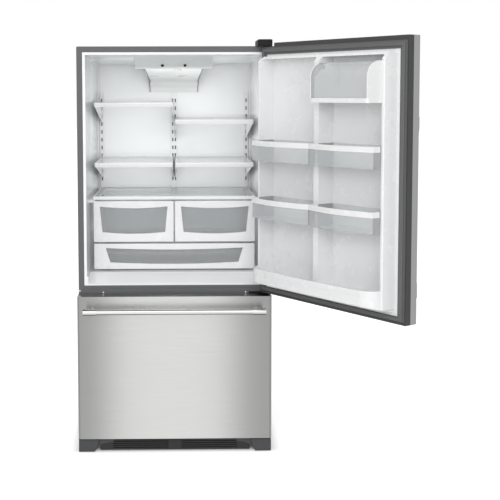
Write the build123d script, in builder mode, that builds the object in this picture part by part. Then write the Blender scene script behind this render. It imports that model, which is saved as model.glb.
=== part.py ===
from build123d import *
import os
from math import cos, radians, sin, tan

os.makedirs("parts", exist_ok=True)

# Bottom-freezer refrigerator, in millimetres. X runs right, Y back and Z up, and the origin is on the
# floor under the middle of the case. "Depth" is measured backwards from the front plane of the case,
# so whatever stands in front of the case has a negative depth.

# ---- case ---------------------------------------------------------------------------------------
case_width = 824.0
case_depth = 714.0
case_height = 1737.0
case_skirt = 32.0        # lower edge of the steel wrap above the floor
case_corner = 5.0
sheet = 1.0              # painted sheet steel
hem = 2.0                # folded front edge
flange = 25.0            # width of the folded front edge
panel_inset = 4.0        # back panel set into the wrap, up to its beads
bead_width = 26.0
bead_margin = 60.0
machine_top = 232.0      # roof of the machine compartment
machine_room = 274.0     # depth of the machine compartment
machine_depth = case_depth - machine_room  # its front wall
foam_floor = 50.0        # underside of the case insulation
gland_x = case_width / 2 - 24

# ---- fridge compartment -------------------------------------------------------------------------
fridge_width = 752.0     # opening at the front
fridge_draft = 8.0       # each side draws in by this much towards the back
roof_gap = 35.0          # from its ceiling up to the case's roof
fridge_top = case_height - roof_gap
ceiling_fall = 26.0
fridge_floor = 754.0
back_gap = 74.0          # insulation behind it, with the panel's inset
fridge_depth = case_depth - back_gap
lip_drop = 32.0
lip_height = fridge_floor - lip_drop  # front lip of the sloped floor
lip_depth = 110.0
lip_inset = 6.0
liner_wall = 2.0
rim_gap = 6.0            # rim below the floor lip
liner_radius = 8.0

# ---- freezer compartment ------------------------------------------------------------------------
freezer_width = fridge_width - 12
freezer_floor = 95.0
floor_gap = 98.0         # between the two compartments
freezer_top = fridge_floor - floor_gap
freezer_back_gap = 154.0
freezer_depth = case_depth - freezer_back_gap
hump_cover = 45.0        # insulation over the machine compartment
hump_depth = machine_depth - hump_cover
hump_height = machine_top + hump_cover - 5
freezer_rim = 12.0

# ---- doors --------------------------------------------------------------------------------------
door_lap = 1.0           # doors stand out past the case on each side
door_width = case_width + 2 * door_lap
door_bottom = fridge_floor - 2 * lip_drop
door_rise = 10.0
door_top = case_height + door_rise
door_front = 76.0        # distance of the stainless face from the case front
door_gap = 12.0          # distance of the door's inner face from the case front
skin = 1.2
skin_wrap = 37.0         # width of the stainless return on the sides
skin_radius = 10.0
frame_wall = 4.0
frame_lip = 3.0          # thickness of the frame's inner border under the gasket
drawer_bottom = 65.0
drawer_split = 10.0      # gap between the door and the freezer drawer
drawer_top = door_bottom - drawer_split
door_open = 124.5        # degrees, as photographed
pin_inset = 15.0
pin_x = door_width / 2 - pin_inset
pin_depth = -32.0
pin_radius = 5.0
pin_clearance = 0.06
pin_grip = 14.0          # length of each hinge pin inside the door
recess_x = pin_x - 62     # the door's top corner is lowered from here to the hinge side
recess_drop = 14.0
gasket_base = 5.0
gasket_free = 0.6        # gap left between the closed gasket and the case
gasket_outer = door_width / 2 - 4
gasket_inner = gasket_outer - 31
bulb_inset = 6.0
bulb_width = 15.0

# ---- door liner ---------------------------------------------------------------------------------
dyke_gap = 14.0          # dyke to compartment wall, door closed
dyke_outer = fridge_width / 2 - dyke_gap
dyke_wall = 14.0
dyke_depth = 55.0
dyke_bottom = fridge_floor - 19
dyke_top = fridge_top - 12
dyke_top_depth = 26.0
lid_back = 1.5           # the dairy lid starts this much past the dykes
recess_floor = -22.0     # back wall of the storage recess
rib_half = 14.0
guard_depth = 124.0
guard_rise = 31.0
guard_floor = dyke_bottom + guard_rise
guard_height = 52.0
guard_top = guard_floor + guard_height
guard_corner = 62.0
guard_wall = 5.0
guard_rail = 20.0
liner_flange_bottom = door_bottom + 30
liner_flange_top = fridge_top - 3

# ---- door bins, dairy box -----------------------------------------------------------------------
bin_wall = 2.5
bin_height = 82.0
bin_front = 93.0         # depth of a bin's front at its corners
bin_bow = 24.0           # extra depth in the middle
bin_corner = 22.0
bow_steps = 6            # straight stretches along the bow
bin_shoulder = 60.0      # from here forwards a bin is as wide as its rail
bin_gap = 1.6
bin_side = dyke_outer - dyke_wall - 1
lug = 7.0
rail_height = 21.0
rail_wall = 2.6
bin_tops = {"upper": dyke_top - 345, "lower": dyke_bottom + 373}
dairy_left = -42.0
dairy_drop = 187.0
dairy_floor = dyke_top - dairy_drop
dairy_base = 17.0
dairy_radius = 60.0
dairy_centre_depth = 67.0
dairy_sill = 92.0
dairy_centre_height = dairy_floor + dairy_sill
dairy_cheek = 5.0
lid_wall = 2.5
lid_hinge_depth = 62.0
lid_gap = 0.5

# ---- shelves, ladders, drawers ------------------------------------------------------------------
ladder_stand = 10.0      # ladder front ahead of the back wall
ladder_wall = 2.0
lens_drop = 132.0        # the lamp lens ends this much below the ceiling's rear edge
lens_low = fridge_top - ceiling_fall - lens_drop
ladder_top = lens_low - 1
slot_first = ladder_top - 39
slot_pitch = 37.9
slot_rows = 11
slot_width = 6.0
slot_height = 17.0
column_inner = 6.4
column_outer = fridge_width / 2 - 26.5
shelf_top = slot_first - 5
shelf_front = 152.0
shelf_trim_depth = 24.0
shelf_trim_height = 20.0
shelf_glass = 4.0
bracket_wall = 3.0
bracket_drop = 95.0
drawer_face_depth = 150.0
drawer_face_wall = 14.0
drawer_wall = 2.5
drawer_gap = 8.5         # between the wide drawer's front and the crispers' fronts
tub_corner = 14.0
wide_height = 113.0
wide_bottom = fridge_floor + 7
wide_top = wide_bottom + wide_height
crisper_gap = 3.0
crisper_height = 181.0
crisper_bottom = wide_top + drawer_gap
crisper_top = crisper_bottom + crisper_height
crisper_plate_half = fridge_width / 2 - 19
crisper_plate_height = 16.0
crisper_plate_top = crisper_top + crisper_plate_height + 5.5
ladder_bottom = crisper_plate_top - 19
window_sag = 8.0
window_cut = 9.0

# ---- handles ------------------------------------------------------------------------------------
handle_radius = 11.5
sleeve_radius = 13.5
sleeve_length = 56.0
handle_stand = 54.0      # distance of the bar's axis from the door face
freezer_handle_half = door_width / 2 - 29
freezer_handle_height = drawer_top - 55
fridge_handle_inset = 71.0  # the bar's axis from the door's free edge
fridge_handle_x = fridge_handle_inset - door_width / 2
fridge_handle_low = door_bottom + 80
fridge_handle_length = 680.0
fridge_handle_high = fridge_handle_low + fridge_handle_length
post_radius = 8.0
post_inset = 34.0

# ---- base ---------------------------------------------------------------------------------------
cover_width = 91.0
cover_outer = case_width / 2 + 1
cover_inner = cover_outer - cover_width
cover_height = 60.0
cover_clear = 3.0
cover_front = -60.0
grille_front = -45.0
grille_wall = 7.0
leg_x = case_width / 2 - 42
leg_depth = 35.0
leg_radius = 5.0
leg_pad_radius = 18.0
leg_clearance = 0.06
roller_radius = 20.0
roller_width = 18.0
roller_x = case_width / 2 - 40
roller_inset = 54.0
roller_depth = case_depth - roller_inset
axle_radius = 4.0
axle_clearance = 0.06

# ---- freezer slides and baskets -----------------------------------------------------------------
slide_height = hump_height + 48
slide_half = 22.0
slide_wall = 1.5
slide_gap = 0.5
slide_reach = 13.0       # the outer member's width, measured in from the liner wall
slide_length = 450.0
slide_start = 14.0
ledge_width = 14.0
basket_wall = 3.0
basket_draft = 4.0
lower_basket_bottom = freezer_floor + 21
lower_basket_depth = hump_depth - 15
upper_basket_height = 134.0
upper_basket_bottom = hump_height + 94
upper_basket_top = upper_basket_bottom + upper_basket_height
upper_basket_depth = freezer_depth - 70
upper_ledge = upper_basket_top - 38

half_width = case_width / 2
half_door = door_width / 2
front = -case_depth / 2
face_plane = Plane(origin=(0, front, 0), x_dir=(1, 0, 0), z_dir=(0, -1, 0))    # x, height
side_plane = Plane(origin=(0, front, 0), x_dir=(0, 1, 0), z_dir=(1, 0, 0))     # depth, height
plan_plane = Plane(origin=(0, front, 0), x_dir=(1, 0, 0), z_dir=(0, 0, 1))     # x, depth


def face(depth):
    """Upright plane at a depth; extruding by a negative amount goes deeper."""
    return face_plane.offset(-depth)


def rect(x0, x1, y0, y1, mode=Mode.ADD):
    """Rectangle between two corners of the current sketch."""
    with Locations(((x0 + x1) / 2, (y0 + y1) / 2)):
        Rectangle(x1 - x0, y1 - y0, mode=mode)


def fridge_half(depth):
    """Half the fridge compartment's width at a depth."""
    return fridge_width / 2 - fridge_draft * depth / fridge_depth


def ceiling(depth):
    """Height of the fridge compartment's ceiling at a depth."""
    return fridge_top - ceiling_fall * depth / fridge_depth


def write(piece, name):
    """Label a finished piece and write its file."""
    piece.label = name
    export_step(piece, f"parts/{name}.step")


# =================================================================================================
# Case
# =================================================================================================
with BuildPart() as case_wrap:
    with BuildSketch(face(0)) as outline:
        rect(-half_width, half_width, case_skirt, case_height)
        fillet(outline.vertices().group_by(Axis.Y)[-1], case_corner)
    extrude(amount=-case_depth)
    with BuildSketch(face(hem)) as hollow:
        rect(-half_width + sheet, half_width - sheet, 0, case_height - sheet)
        fillet(hollow.vertices().group_by(Axis.Y)[-1], case_corner - sheet)
    extrude(amount=-case_depth, mode=Mode.SUBTRACT)
    with BuildSketch(face(0)):
        rect(-half_width + flange, half_width - flange, 0, case_height - flange)
    extrude(amount=-hem, mode=Mode.SUBTRACT)
case_wrap.part.label = "case_wrap"
export_step(case_wrap.part, "parts/case_wrap.step")

panel_front = case_depth - panel_inset
with BuildPart() as back_panel:
    with BuildSketch(face(panel_front)):
        rect(-half_width + sheet, half_width - sheet, machine_top, case_height - sheet - case_corner)
        rect(-half_width + sheet, half_width - sheet, foam_floor, machine_top - 1)
        with Locations((0, (foam_floor + machine_top) / 2)):
            with GridLocations(240, 34, 2, 3):
                Rectangle(200, 10, mode=Mode.SUBTRACT)
    extrude(amount=-sheet)
    with BuildSketch(face(panel_front + sheet)):
        with Locations((0, (machine_top + case_height) / 2)):
            with GridLocations(case_width / 4, 0, 4, 1):
                Rectangle(bead_width, case_height - machine_top - 2 * bead_margin)
    extrude(amount=-(panel_inset - sheet), taper=35)
    # gland for the supply lead
    with BuildSketch(face(panel_front - 6)):
        with Locations((gland_x, foam_floor + 40)):
            RegularPolygon(11, 12)
    extrude(amount=-(6 + panel_inset))
    with BuildSketch(face(panel_front - 6)):
        with Locations((gland_x, foam_floor + 40)):
            RegularPolygon(4.5, 8)
    extrude(amount=-(6 + panel_inset), mode=Mode.SUBTRACT)
back_panel.part.label = "back_panel"
export_step(back_panel.part, "parts/back_panel.step")


def fridge_hollow(grow):
    """The fridge compartment's drafted room, larger all round by the given amount."""
    with BuildPart() as room:
        with BuildSketch(face(0)):
            rect(-fridge_half(0) - grow, fridge_half(0) + grow, fridge_floor - grow, ceiling(0) + grow)
        far = fridge_depth + grow
        with BuildSketch(face(far)):
            rect(-fridge_half(far) - grow, fridge_half(far) + grow, fridge_floor - grow,
                 ceiling(far) + grow)
        loft(ruled=True)
        with BuildSketch(side_plane):
            with BuildLine():
                Polyline((0, lip_height - grow), (lip_depth, fridge_floor - grow),
                         (lip_depth, fridge_floor + 1), (0, fridge_floor + 1), close=True)
            make_face()
        extrude(amount=fridge_half(0) - lip_inset + grow, both=True)
    return room.part


fridge_room = fridge_hollow(0)
fridge_shell = fridge_hollow(liner_wall)


def wall_ledge(depth_0, depth_1, inner, low, high, width_at):
    """Plan of a ledge that runs back along a side wall, from its inner edge into the wall."""
    for side in (-1, 1):
        with BuildSketch(plan_plane.offset(low)) as ledge:
            with BuildLine():
                Polyline((side * inner, depth_0), (side * (width_at(depth_0) + 1), depth_0),
                         (side * (width_at(depth_1) + 1), depth_1), (side * inner, depth_1), close=True)
            make_face()
        extrude(ledge.sketch, amount=high - low)


plate_bottom = crisper_plate_top - crisper_plate_height
with BuildPart() as fridge_cavity:
    add(fridge_room)
    deep = fridge_cavity.edges().filter_by(lambda e: e.center().Y > front + fridge_depth - 1)
    chamfer(deep, liner_radius)

with BuildPart() as fridge_liner:
    add(fridge_shell)
    with BuildSketch(face(0)):
        rect(-half_width + flange, half_width - flange, lip_height - rim_gap, case_height - flange)
    extrude(amount=-hem)
    add(fridge_cavity.part, mode=Mode.SUBTRACT)
    wall_ledge(drawer_face_depth + drawer_face_wall, fridge_depth - 60, crisper_plate_half - 5,
               plate_bottom - 12, plate_bottom, fridge_half)
fridge_liner.part.label = "fridge_liner"
export_step(fridge_liner.part, "parts/fridge_liner.step")

freezer_half = freezer_width / 2


def freezer_outline(grow):
    """Side outline of the freezer compartment with its hump over the machine compartment."""
    with BuildLine() as edge:
        Polyline((0, freezer_floor - grow), (hump_depth + grow, freezer_floor - grow),
                 (hump_depth + grow, hump_height - grow), (freezer_depth + grow, hump_height - grow),
                 (freezer_depth + grow, freezer_top + grow), (0, freezer_top + grow), close=True)
    make_face(edge.edges())


fan_height = freezer_top - 96
fan_hole = 58.0
with BuildPart() as freezer_liner:
    with BuildSketch(side_plane):
        freezer_outline(liner_wall)
    extrude(amount=freezer_half + liner_wall, both=True)
    with BuildSketch(face(0)):
        rect(-half_width + flange, half_width - flange, freezer_floor - freezer_rim,
             freezer_top + freezer_rim)
    extrude(amount=-hem)
    with BuildSketch(side_plane):
        freezer_outline(0)
    extrude(amount=freezer_half, both=True, mode=Mode.SUBTRACT)
    wall_ledge(20, freezer_depth - 20, freezer_half - ledge_width, upper_ledge - 8, upper_ledge,
               lambda depth: freezer_half)
    with BuildSketch(face(freezer_depth)):
        with Locations((0, fan_height)):
            with GridLocations(18, 0, 6, 1):
                Rectangle(10, 2 * fan_hole - 20)
        with Locations((0, hump_height + 30)):
            with GridLocations(60, 0, 9, 1):
                Rectangle(40, 8)
    extrude(amount=-liner_wall, mode=Mode.SUBTRACT)
freezer_liner.part.label = "freezer_liner"
export_step(freezer_liner.part, "parts/freezer_liner.step")

evaporator_half = 280.0
chamber_depth = freezer_depth + liner_wall
chamber_back = chamber_depth + 66
with BuildPart() as case_foam:
    with BuildSketch(face(hem)) as block:
        rect(-half_width + sheet, half_width - sheet, foam_floor, case_height - sheet)
        chamfer(block.vertices().group_by(Axis.Y)[-1], case_corner)
    extrude(amount=-(panel_front - hem))
    add(fridge_shell, mode=Mode.SUBTRACT)
    with BuildSketch(side_plane):
        freezer_outline(liner_wall)
    extrude(amount=freezer_half + liner_wall, both=True, mode=Mode.SUBTRACT)
    with BuildSketch(side_plane):
        rect(machine_depth, case_depth, 0, machine_top)
    extrude(amount=half_width, both=True, mode=Mode.SUBTRACT)
    with BuildSketch(face(chamber_depth - 1)):
        rect(-evaporator_half, evaporator_half, hump_height + 12, freezer_top - 20)
    extrude(amount=-(chamber_back - chamber_depth + 1), mode=Mode.SUBTRACT)
case_foam.part.label = "case_foam"
export_step(case_foam.part, "parts/case_foam.step")

mullion_low = freezer_top + freezer_rim
mullion_high = lip_height - rim_gap
with BuildPart() as mullion_bar:
    with BuildSketch(face(0)):
        rect(-half_width + flange, half_width - flange, mullion_low, mullion_high)
    extrude(amount=-hem)
    with BuildSketch(face(0)):
        with Locations((0, (mullion_low + mullion_high) / 2 + 8)):
            Rectangle(case_width - 2 * flange - 60, 8)
    extrude(amount=-hem / 2, mode=Mode.SUBTRACT)
mullion_bar.part.label = "mullion_bar"
export_step(mullion_bar.part, "parts/mullion_bar.step")

# =================================================================================================
# Base
# =================================================================================================
rail_low = 20.0
cross_back = 60.0
pan_floor = 46.0
with BuildPart() as base_frame:
    # side rails: channels open inwards
    for side in (-1, 1):
        with BuildSketch(face(8)):
            outer_edge, inner_edge = half_width - sheet, half_width - sheet - 16
            rect(min(side * outer_edge, side * inner_edge), max(side * outer_edge, side * inner_edge),
                 rail_low, foam_floor)
            web = side * (outer_edge - sheet - 1)
            rect(min(web, side * (inner_edge - 1)), max(web, side * (inner_edge - 1)),
                 rail_low + 2, foam_floor - 2, mode=Mode.SUBTRACT)
        extrude(amount=-(panel_front - 8))
    # front cross-member: an angle whose upright leg closes the case under the freezer
    with BuildSketch(side_plane):
        rect(0, hem, rail_low, freezer_floor - freezer_rim)
        rect(0, cross_back, foam_floor - 3, foam_floor)
    extrude(amount=half_width - flange, both=True)
    with BuildSketch(side_plane):
        rect(hem + 6, cross_back, foam_floor - 3, foam_floor)
    extrude(amount=half_width - 2 * sheet, both=True)
    with BuildSketch(plan_plane.offset(rail_low + 4)):
        with Locations((-leg_x, leg_depth), (leg_x, leg_depth)):
            RegularPolygon(13, 6)
    extrude(amount=foam_floor - rail_low - 4)
    # floor of the machine compartment
    with BuildSketch(side_plane):
        rect(machine_depth, panel_front, pan_floor, foam_floor)
    extrude(amount=half_width - sheet - 2, both=True)
    # roller forks and their axles
    for side in (-1, 1):
        for cheek in (-1, 1):
            middle = side * roller_x + cheek * (roller_width / 2 + 1.5)
            with BuildSketch(side_plane.offset(middle)):
                with BuildLine():
                    Polyline((roller_depth - 24, pan_floor), (roller_depth - 9, 12),
                             (roller_depth + 9, 12), (roller_depth + 24, pan_floor), close=True)
                make_face()
            extrude(amount=1, both=True)
        with BuildSketch(side_plane.offset(side * roller_x)):
            with Locations((roller_depth, roller_radius)):
                RegularPolygon(axle_radius, 12)
        extrude(amount=roller_width / 2 + 1, both=True)
    with BuildSketch(plan_plane):
        with Locations((-leg_x, leg_depth), (leg_x, leg_depth)):
            RegularPolygon(leg_radius + leg_clearance, 16, major_radius=False)
    extrude(amount=foam_floor, mode=Mode.SUBTRACT)
base_frame.part.label = "base_frame"
export_step(base_frame.part, "parts/base_frame.step")

pad_height = 9.0
for name, side in {"leveling_leg_left": -1, "leveling_leg_right": 1}.items():
    with BuildPart() as leg:
        with BuildSketch(plan_plane):
            with Locations((side * leg_x, leg_depth)):
                RegularPolygon(leg_pad_radius, 6)
        extrude(amount=pad_height)
        with BuildSketch(plan_plane.offset(pad_height)):
            with Locations((side * leg_x, leg_depth)):
                RegularPolygon(leg_radius, 16)
        extrude(amount=32)
    write(leg.part, name)

for name, side in {"rear_roller_left": -1, "rear_roller_right": 1}.items():
    with BuildPart() as roller:
        with BuildSketch(side_plane.offset(side * roller_x)):
            with Locations((roller_depth, roller_radius)):
                RegularPolygon(roller_radius, 24, rotation=360 / 48)
                RegularPolygon(axle_radius + axle_clearance, 12, major_radius=False, mode=Mode.SUBTRACT)
        extrude(amount=roller_width / 2, both=True)
    write(roller.part, name)

with BuildPart() as foot_covers:
    with BuildSketch(face(cover_front)):
        with BuildLine():
            Polyline((cover_outer, cover_clear), (cover_outer, cover_height), (cover_inner, cover_height),
                     (cover_inner + 12, 18), (cover_inner + 24, cover_clear), close=True)
        make_face()
    extrude(amount=cover_front)
    chamfer(foot_covers.edges().group_by(Axis.Y)[0], 4)
    shell_faces = foot_covers.faces().sort_by(Axis.Y)[-1]
    offset(amount=-3, openings=[shell_faces, foot_covers.faces().sort_by(Axis.Z)[0]])
    mirror(about=Plane.YZ)
foot_covers.part.label = "foot_covers"
export_step(foot_covers.part, "parts/foot_covers.step")

grille_low, grille_high = 7.0, 56.0
vent_length, vent_pitch, vent_rows = 238.0, 9.0, 4
with BuildPart() as base_grille:
    with BuildSketch(face(grille_front)):
        rect(-cover_inner, cover_inner, grille_low, grille_high)
    extrude(amount=-grille_wall)
    # louvres: each row is a slot cut on a slope, so the bar above it overhangs
    for side in (-1, 1):
        for row in range(vent_rows):
            low = grille_low + 8 + row * vent_pitch
            with BuildSketch(side_plane.offset(side * (28 + vent_length / 2))):
                with BuildLine():
                    Polyline((grille_front - 1, low), (grille_front + grille_wall + 1, low + 4),
                             (grille_front + grille_wall + 1, low + 7.5), (grille_front - 1, low + 3.5),
                             close=True)
                make_face()
            extrude(amount=vent_length / 2, both=True, mode=Mode.SUBTRACT)
    # arms back to the base
    with BuildSketch(face(grille_front + grille_wall)):
        with GridLocations(560, 0, 2, 1):
            with Locations((0, 36)):
                Rectangle(16, 14)
    extrude(amount=grille_front + grille_wall)
base_grille.part.label = "base_grille"
export_step(base_grille.part, "parts/base_grille.step")

# =================================================================================================
# Cooling system
# =================================================================================================
pump_x, pump_depth, pump_radius = 215.0, case_depth - 142, 76.0
pump_low, pump_high = foam_floor + 12, machine_top - 18
with BuildPart() as compressor:
    # drum with a domed top, mirrored to its underside
    middle, dome = (pump_low + pump_high) / 2, 24.0
    for level, rise, lean in ((middle, pump_high - dome - middle, 0), (pump_high - dome, dome, 42)):
        with BuildSketch(plan_plane.offset(level)):
            with Locations((pump_x, pump_depth)):
                RegularPolygon(pump_radius, 20)
        extrude(amount=rise, taper=lean)
    mirror(about=Plane.XY.offset(middle))
    seam = middle - 8
    with BuildSketch(plan_plane.offset(seam - 3)):
        with Locations((pump_x, pump_depth)):
            RegularPolygon(pump_radius + 3, 20)
    extrude(amount=6)
    with BuildSketch(plan_plane.offset(pump_low - 4)) as foot:
        with Locations((pump_x, pump_depth)):
            Rectangle(210, 120)
        chamfer(foot.vertices(), 14)
    extrude(amount=6)
    with BuildSketch(plan_plane.offset(foam_floor)):
        with Locations((pump_x, pump_depth)):
            with GridLocations(176, 86, 2, 2):
                RegularPolygon(12, 6)
    extrude(amount=pump_low - foam_floor)
    with BuildSketch(face(pump_depth - pump_radius - 22)):
        with Locations((pump_x, (pump_low + pump_high) / 2 - 10)):
            Rectangle(52, 60)
    extrude(amount=-40)
compressor.part.label = "compressor"
export_step(compressor.part, "parts/compressor.step")

fan_x, fan_depth, fan_axis_height = -92.0, pump_depth, foam_floor + 88
shaft_radius, shaft_clearance = 3.0, 0.06
blade_pitch, blade_wall = 28.0, 2.0
coil_left, coil_right = 40 - half_width, -190.0
coil_reach, coil_low_edge, coil_high_edge = 88.0, foam_floor + 20, machine_top - 32
coil_fins, tube_radius = 6, 6.0
with BuildPart() as condenser:
    # fins and tubes of the coil
    with BuildSketch(side_plane.offset(coil_left)):
        rect(fan_depth - coil_reach - 6, fan_depth + coil_reach, coil_low_edge, coil_high_edge)
    extrude(amount=2)
    for index in range(1, coil_fins):
        with BuildSketch(side_plane.offset(coil_left + index * (coil_right - coil_left) / coil_fins)):
            rect(fan_depth - coil_reach, fan_depth + coil_reach - 6, coil_low_edge + 6, coil_high_edge - 6)
        extrude(amount=1)
    with BuildSketch(side_plane.offset(coil_right)):
        rect(fan_depth - coil_reach - 6, fan_depth + coil_reach, foam_floor, coil_high_edge)
        with Locations((fan_depth, fan_axis_height)):
            RegularPolygon(40, 16, mode=Mode.SUBTRACT)
    extrude(amount=-2)
    with BuildSketch(side_plane.offset(coil_left)):
        with Locations((fan_depth, (coil_low_edge + coil_high_edge) / 2)):
            with GridLocations(0, 84, 1, 2):
                RegularPolygon(tube_radius, 4)
    extrude(amount=coil_right - coil_left)
    with BuildSketch(side_plane.offset(coil_left)):
        rect(fan_depth - 52, fan_depth + 28, foam_floor, coil_low_edge + 2)
    extrude(amount=2)
    with BuildSketch(plan_plane.offset(foam_floor)):
        rect(coil_right - 2, fan_x + 50, fan_depth - 12, fan_depth + 12)
    extrude(amount=2)
    # fan motor on its bracket, with the shaft that carries the fan
    with BuildSketch(side_plane.offset(fan_x + 30)):
        with Locations((fan_depth, fan_axis_height)):
            RegularPolygon(24, 12)
    extrude(amount=34)
    with BuildSketch(side_plane.offset(fan_x + 46)):
        rect(fan_depth - 12, fan_depth + 12, foam_floor, fan_axis_height)
    extrude(amount=4)
    with BuildSketch(side_plane.offset(fan_x - 14)):
        with Locations((fan_depth, fan_axis_height)):
            RegularPolygon(shaft_radius, 12)
    extrude(amount=46)
condenser.part.label = "condenser"
export_step(condenser.part, "parts/condenser.step")


def fan_wheel(centre, axis, spin_x, radius, hub_radius, hub_length, blades):
    """Hub with pitched blades that widen towards the tip."""
    hub_plane = Plane(origin=centre - axis * (hub_length / 2), x_dir=spin_x, z_dir=axis)
    with BuildPart() as wheel:
        with BuildSketch(hub_plane):
            RegularPolygon(hub_radius, 10)
        extrude(amount=hub_length)
        for index in range(blades):
            turn = radians(360 / blades * index)
            radial = spin_x * cos(turn) + axis.cross(spin_x) * sin(turn)
            tangent = axis.cross(radial)
            lean = axis * cos(radians(blade_pitch)) - tangent * sin(radians(blade_pitch))
            with BuildSketch(Plane(origin=centre, x_dir=radial, z_dir=lean)):
                with BuildLine():
                    Polyline((hub_radius - 2, -9), (radius * 0.7, -21), (radius, -10), (radius - 6, 20),
                             (hub_radius - 2, 9), close=True)
                make_face()
            extrude(amount=blade_wall / 2, both=True)
        with BuildSketch(hub_plane):
            RegularPolygon(shaft_radius + shaft_clearance, 12, major_radius=False)
        extrude(amount=hub_length, mode=Mode.SUBTRACT)
    return wheel.part


condenser_fan = fan_wheel(Vector(fan_x, front + fan_depth, fan_axis_height), Vector(1, 0, 0),
                          Vector(0, 1, 0), 70, 18, 24, 5)
write(condenser_fan, "condenser_fan")

coil_low = hump_height + 30
evaporator_fins = 7
with BuildPart() as evaporator:
    for index in range(evaporator_fins):
        place = -evaporator_half + 20 + index * (2 * evaporator_half - 40) / (evaporator_fins - 1)
        with BuildSketch(side_plane.offset(place)):
            rect(chamber_depth + 8, chamber_back - 6, coil_low, coil_low + 130)
        extrude(amount=1)
    with BuildSketch(side_plane.offset(-evaporator_half + 20)):
        with Locations(((chamber_depth + chamber_back) / 2, coil_low + 65)):
            with GridLocations(0, 80, 1, 2):
                RegularPolygon(tube_radius, 4)
    extrude(amount=2 * evaporator_half - 39)
    # tray under the coil and the rear strap that carries the fan motor
    with BuildSketch(face(chamber_back)):
        rect(-40, 40, coil_low - 18, fan_height + 40)
        rect(-evaporator_half + 10, evaporator_half - 10, coil_low - 18, coil_low - 6)
    extrude(amount=6)
    with BuildSketch(face(chamber_back - 6)):
        with Locations((0, fan_height)):
            RegularPolygon(24, 12)
    extrude(amount=16)
    with BuildSketch(face(chamber_back - 20)):
        with Locations((0, fan_height)):
            RegularPolygon(shaft_radius, 12)
    extrude(amount=22)
evaporator.part.label = "evaporator"
export_step(evaporator.part, "parts/evaporator.step")

evaporator_fan = fan_wheel(Vector(0, front + chamber_back - 34, fan_height), Vector(0, 1, 0),
                           Vector(1, 0, 0), fan_hole - 6, 15, 18, 5)
write(evaporator_fan, "evaporator_fan")

# =================================================================================================
# Fridge compartment fittings
# =================================================================================================
# Control housing: its front slopes down and back from the rim, and its top lies on the ceiling.
housing_half = 169.0
housing_drop = 56.0
housing_front, housing_crest, housing_back = 10.0, 150.0, 190.0
housing_low = fridge_top - housing_drop
housing_wall = 3.0
button_depth, button_pitch, button_radius, button_gap = 110.0, 98.0, 6.5, 0.35
slope_run = housing_crest - housing_front
slope_fall = housing_low - ceiling(housing_front) + 2
slope_length = (slope_run ** 2 + slope_fall ** 2) ** 0.5
button_height = ceiling(housing_front) - 2 + slope_fall * (button_depth - housing_front) / slope_run
slope_normal = Vector(0, slope_fall / slope_length, -slope_run / slope_length)
button_plane = Plane(origin=(0, front + button_depth, button_height), x_dir=(1, 0, 0), z_dir=slope_normal)
with BuildPart() as control_housing:
    with BuildSketch(side_plane):
        with BuildLine():
            Polyline((housing_front, ceiling(housing_front)), (housing_front, ceiling(housing_front) - 2),
                     (housing_crest, housing_low), (housing_back, housing_low),
                     (housing_back, ceiling(housing_back)), close=True)
        make_face()
    extrude(amount=housing_half, both=True)
    fillet(control_housing.edges().filter_by(Axis.X).sort_by(Axis.Z)[0:2], 6)
    with BuildSketch(side_plane):
        with BuildLine():
            Polyline((housing_front + 20, ceiling(housing_front + 20)),
                     (housing_crest, housing_low + housing_wall + 2),
                     (housing_back - housing_wall, housing_low + housing_wall + 2),
                     (housing_back - housing_wall, ceiling(housing_back - housing_wall)), close=True)
        make_face()
    extrude(amount=housing_half - housing_wall, both=True, mode=Mode.SUBTRACT)
    with BuildSketch(button_plane):
        with GridLocations(button_pitch, 0, 2, 1):
            RegularPolygon(button_radius + button_gap, 20, major_radius=False)
    extrude(amount=-20, mode=Mode.SUBTRACT)
control_housing.part.label = "control_housing"
export_step(control_housing.part, "parts/control_housing.step")

for name, side in {"fridge_button": -1, "freezer_button": 1}.items():
    with BuildPart() as button:
        with BuildSketch(button_plane.offset(-9)):
            with Locations((side * button_pitch / 2, 0)):
                RegularPolygon(button_radius, 20)
        extrude(amount=11)
    write(button.part, name)

# Lamp lens: a long translucent cover that tapers back under the ceiling and turns down the back wall.
lens_front_half, lens_back_half = 130.0, 112.0
lens_bend, lens_knee, lens_wall = fridge_depth - 55, lens_low + 47, 2.5
with BuildPart() as lens_room:
    with BuildSketch(side_plane):
        with BuildLine():
            Polyline((housing_back + lens_wall, housing_low + lens_wall + 1.5),
                     (lens_bend - 6, lens_knee + lens_wall), (fridge_depth - 22, lens_low + 24),
                     (fridge_depth - 8, lens_low + 4), (fridge_depth - 8, case_height),
                     (housing_back + lens_wall, case_height), close=True)
        make_face()
    extrude(amount=lens_front_half, both=True)
    with BuildSketch(plan_plane.offset(lens_low - 44)):
        with BuildLine():
            near, far = lens_front_half - lens_wall, lens_back_half - lens_wall
            Polyline((-near, housing_back), (near, housing_back), (far, fridge_depth), (-far, fridge_depth),
                     close=True)
        make_face()
    extrude(amount=case_height - lens_low, mode=Mode.INTERSECT)
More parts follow.
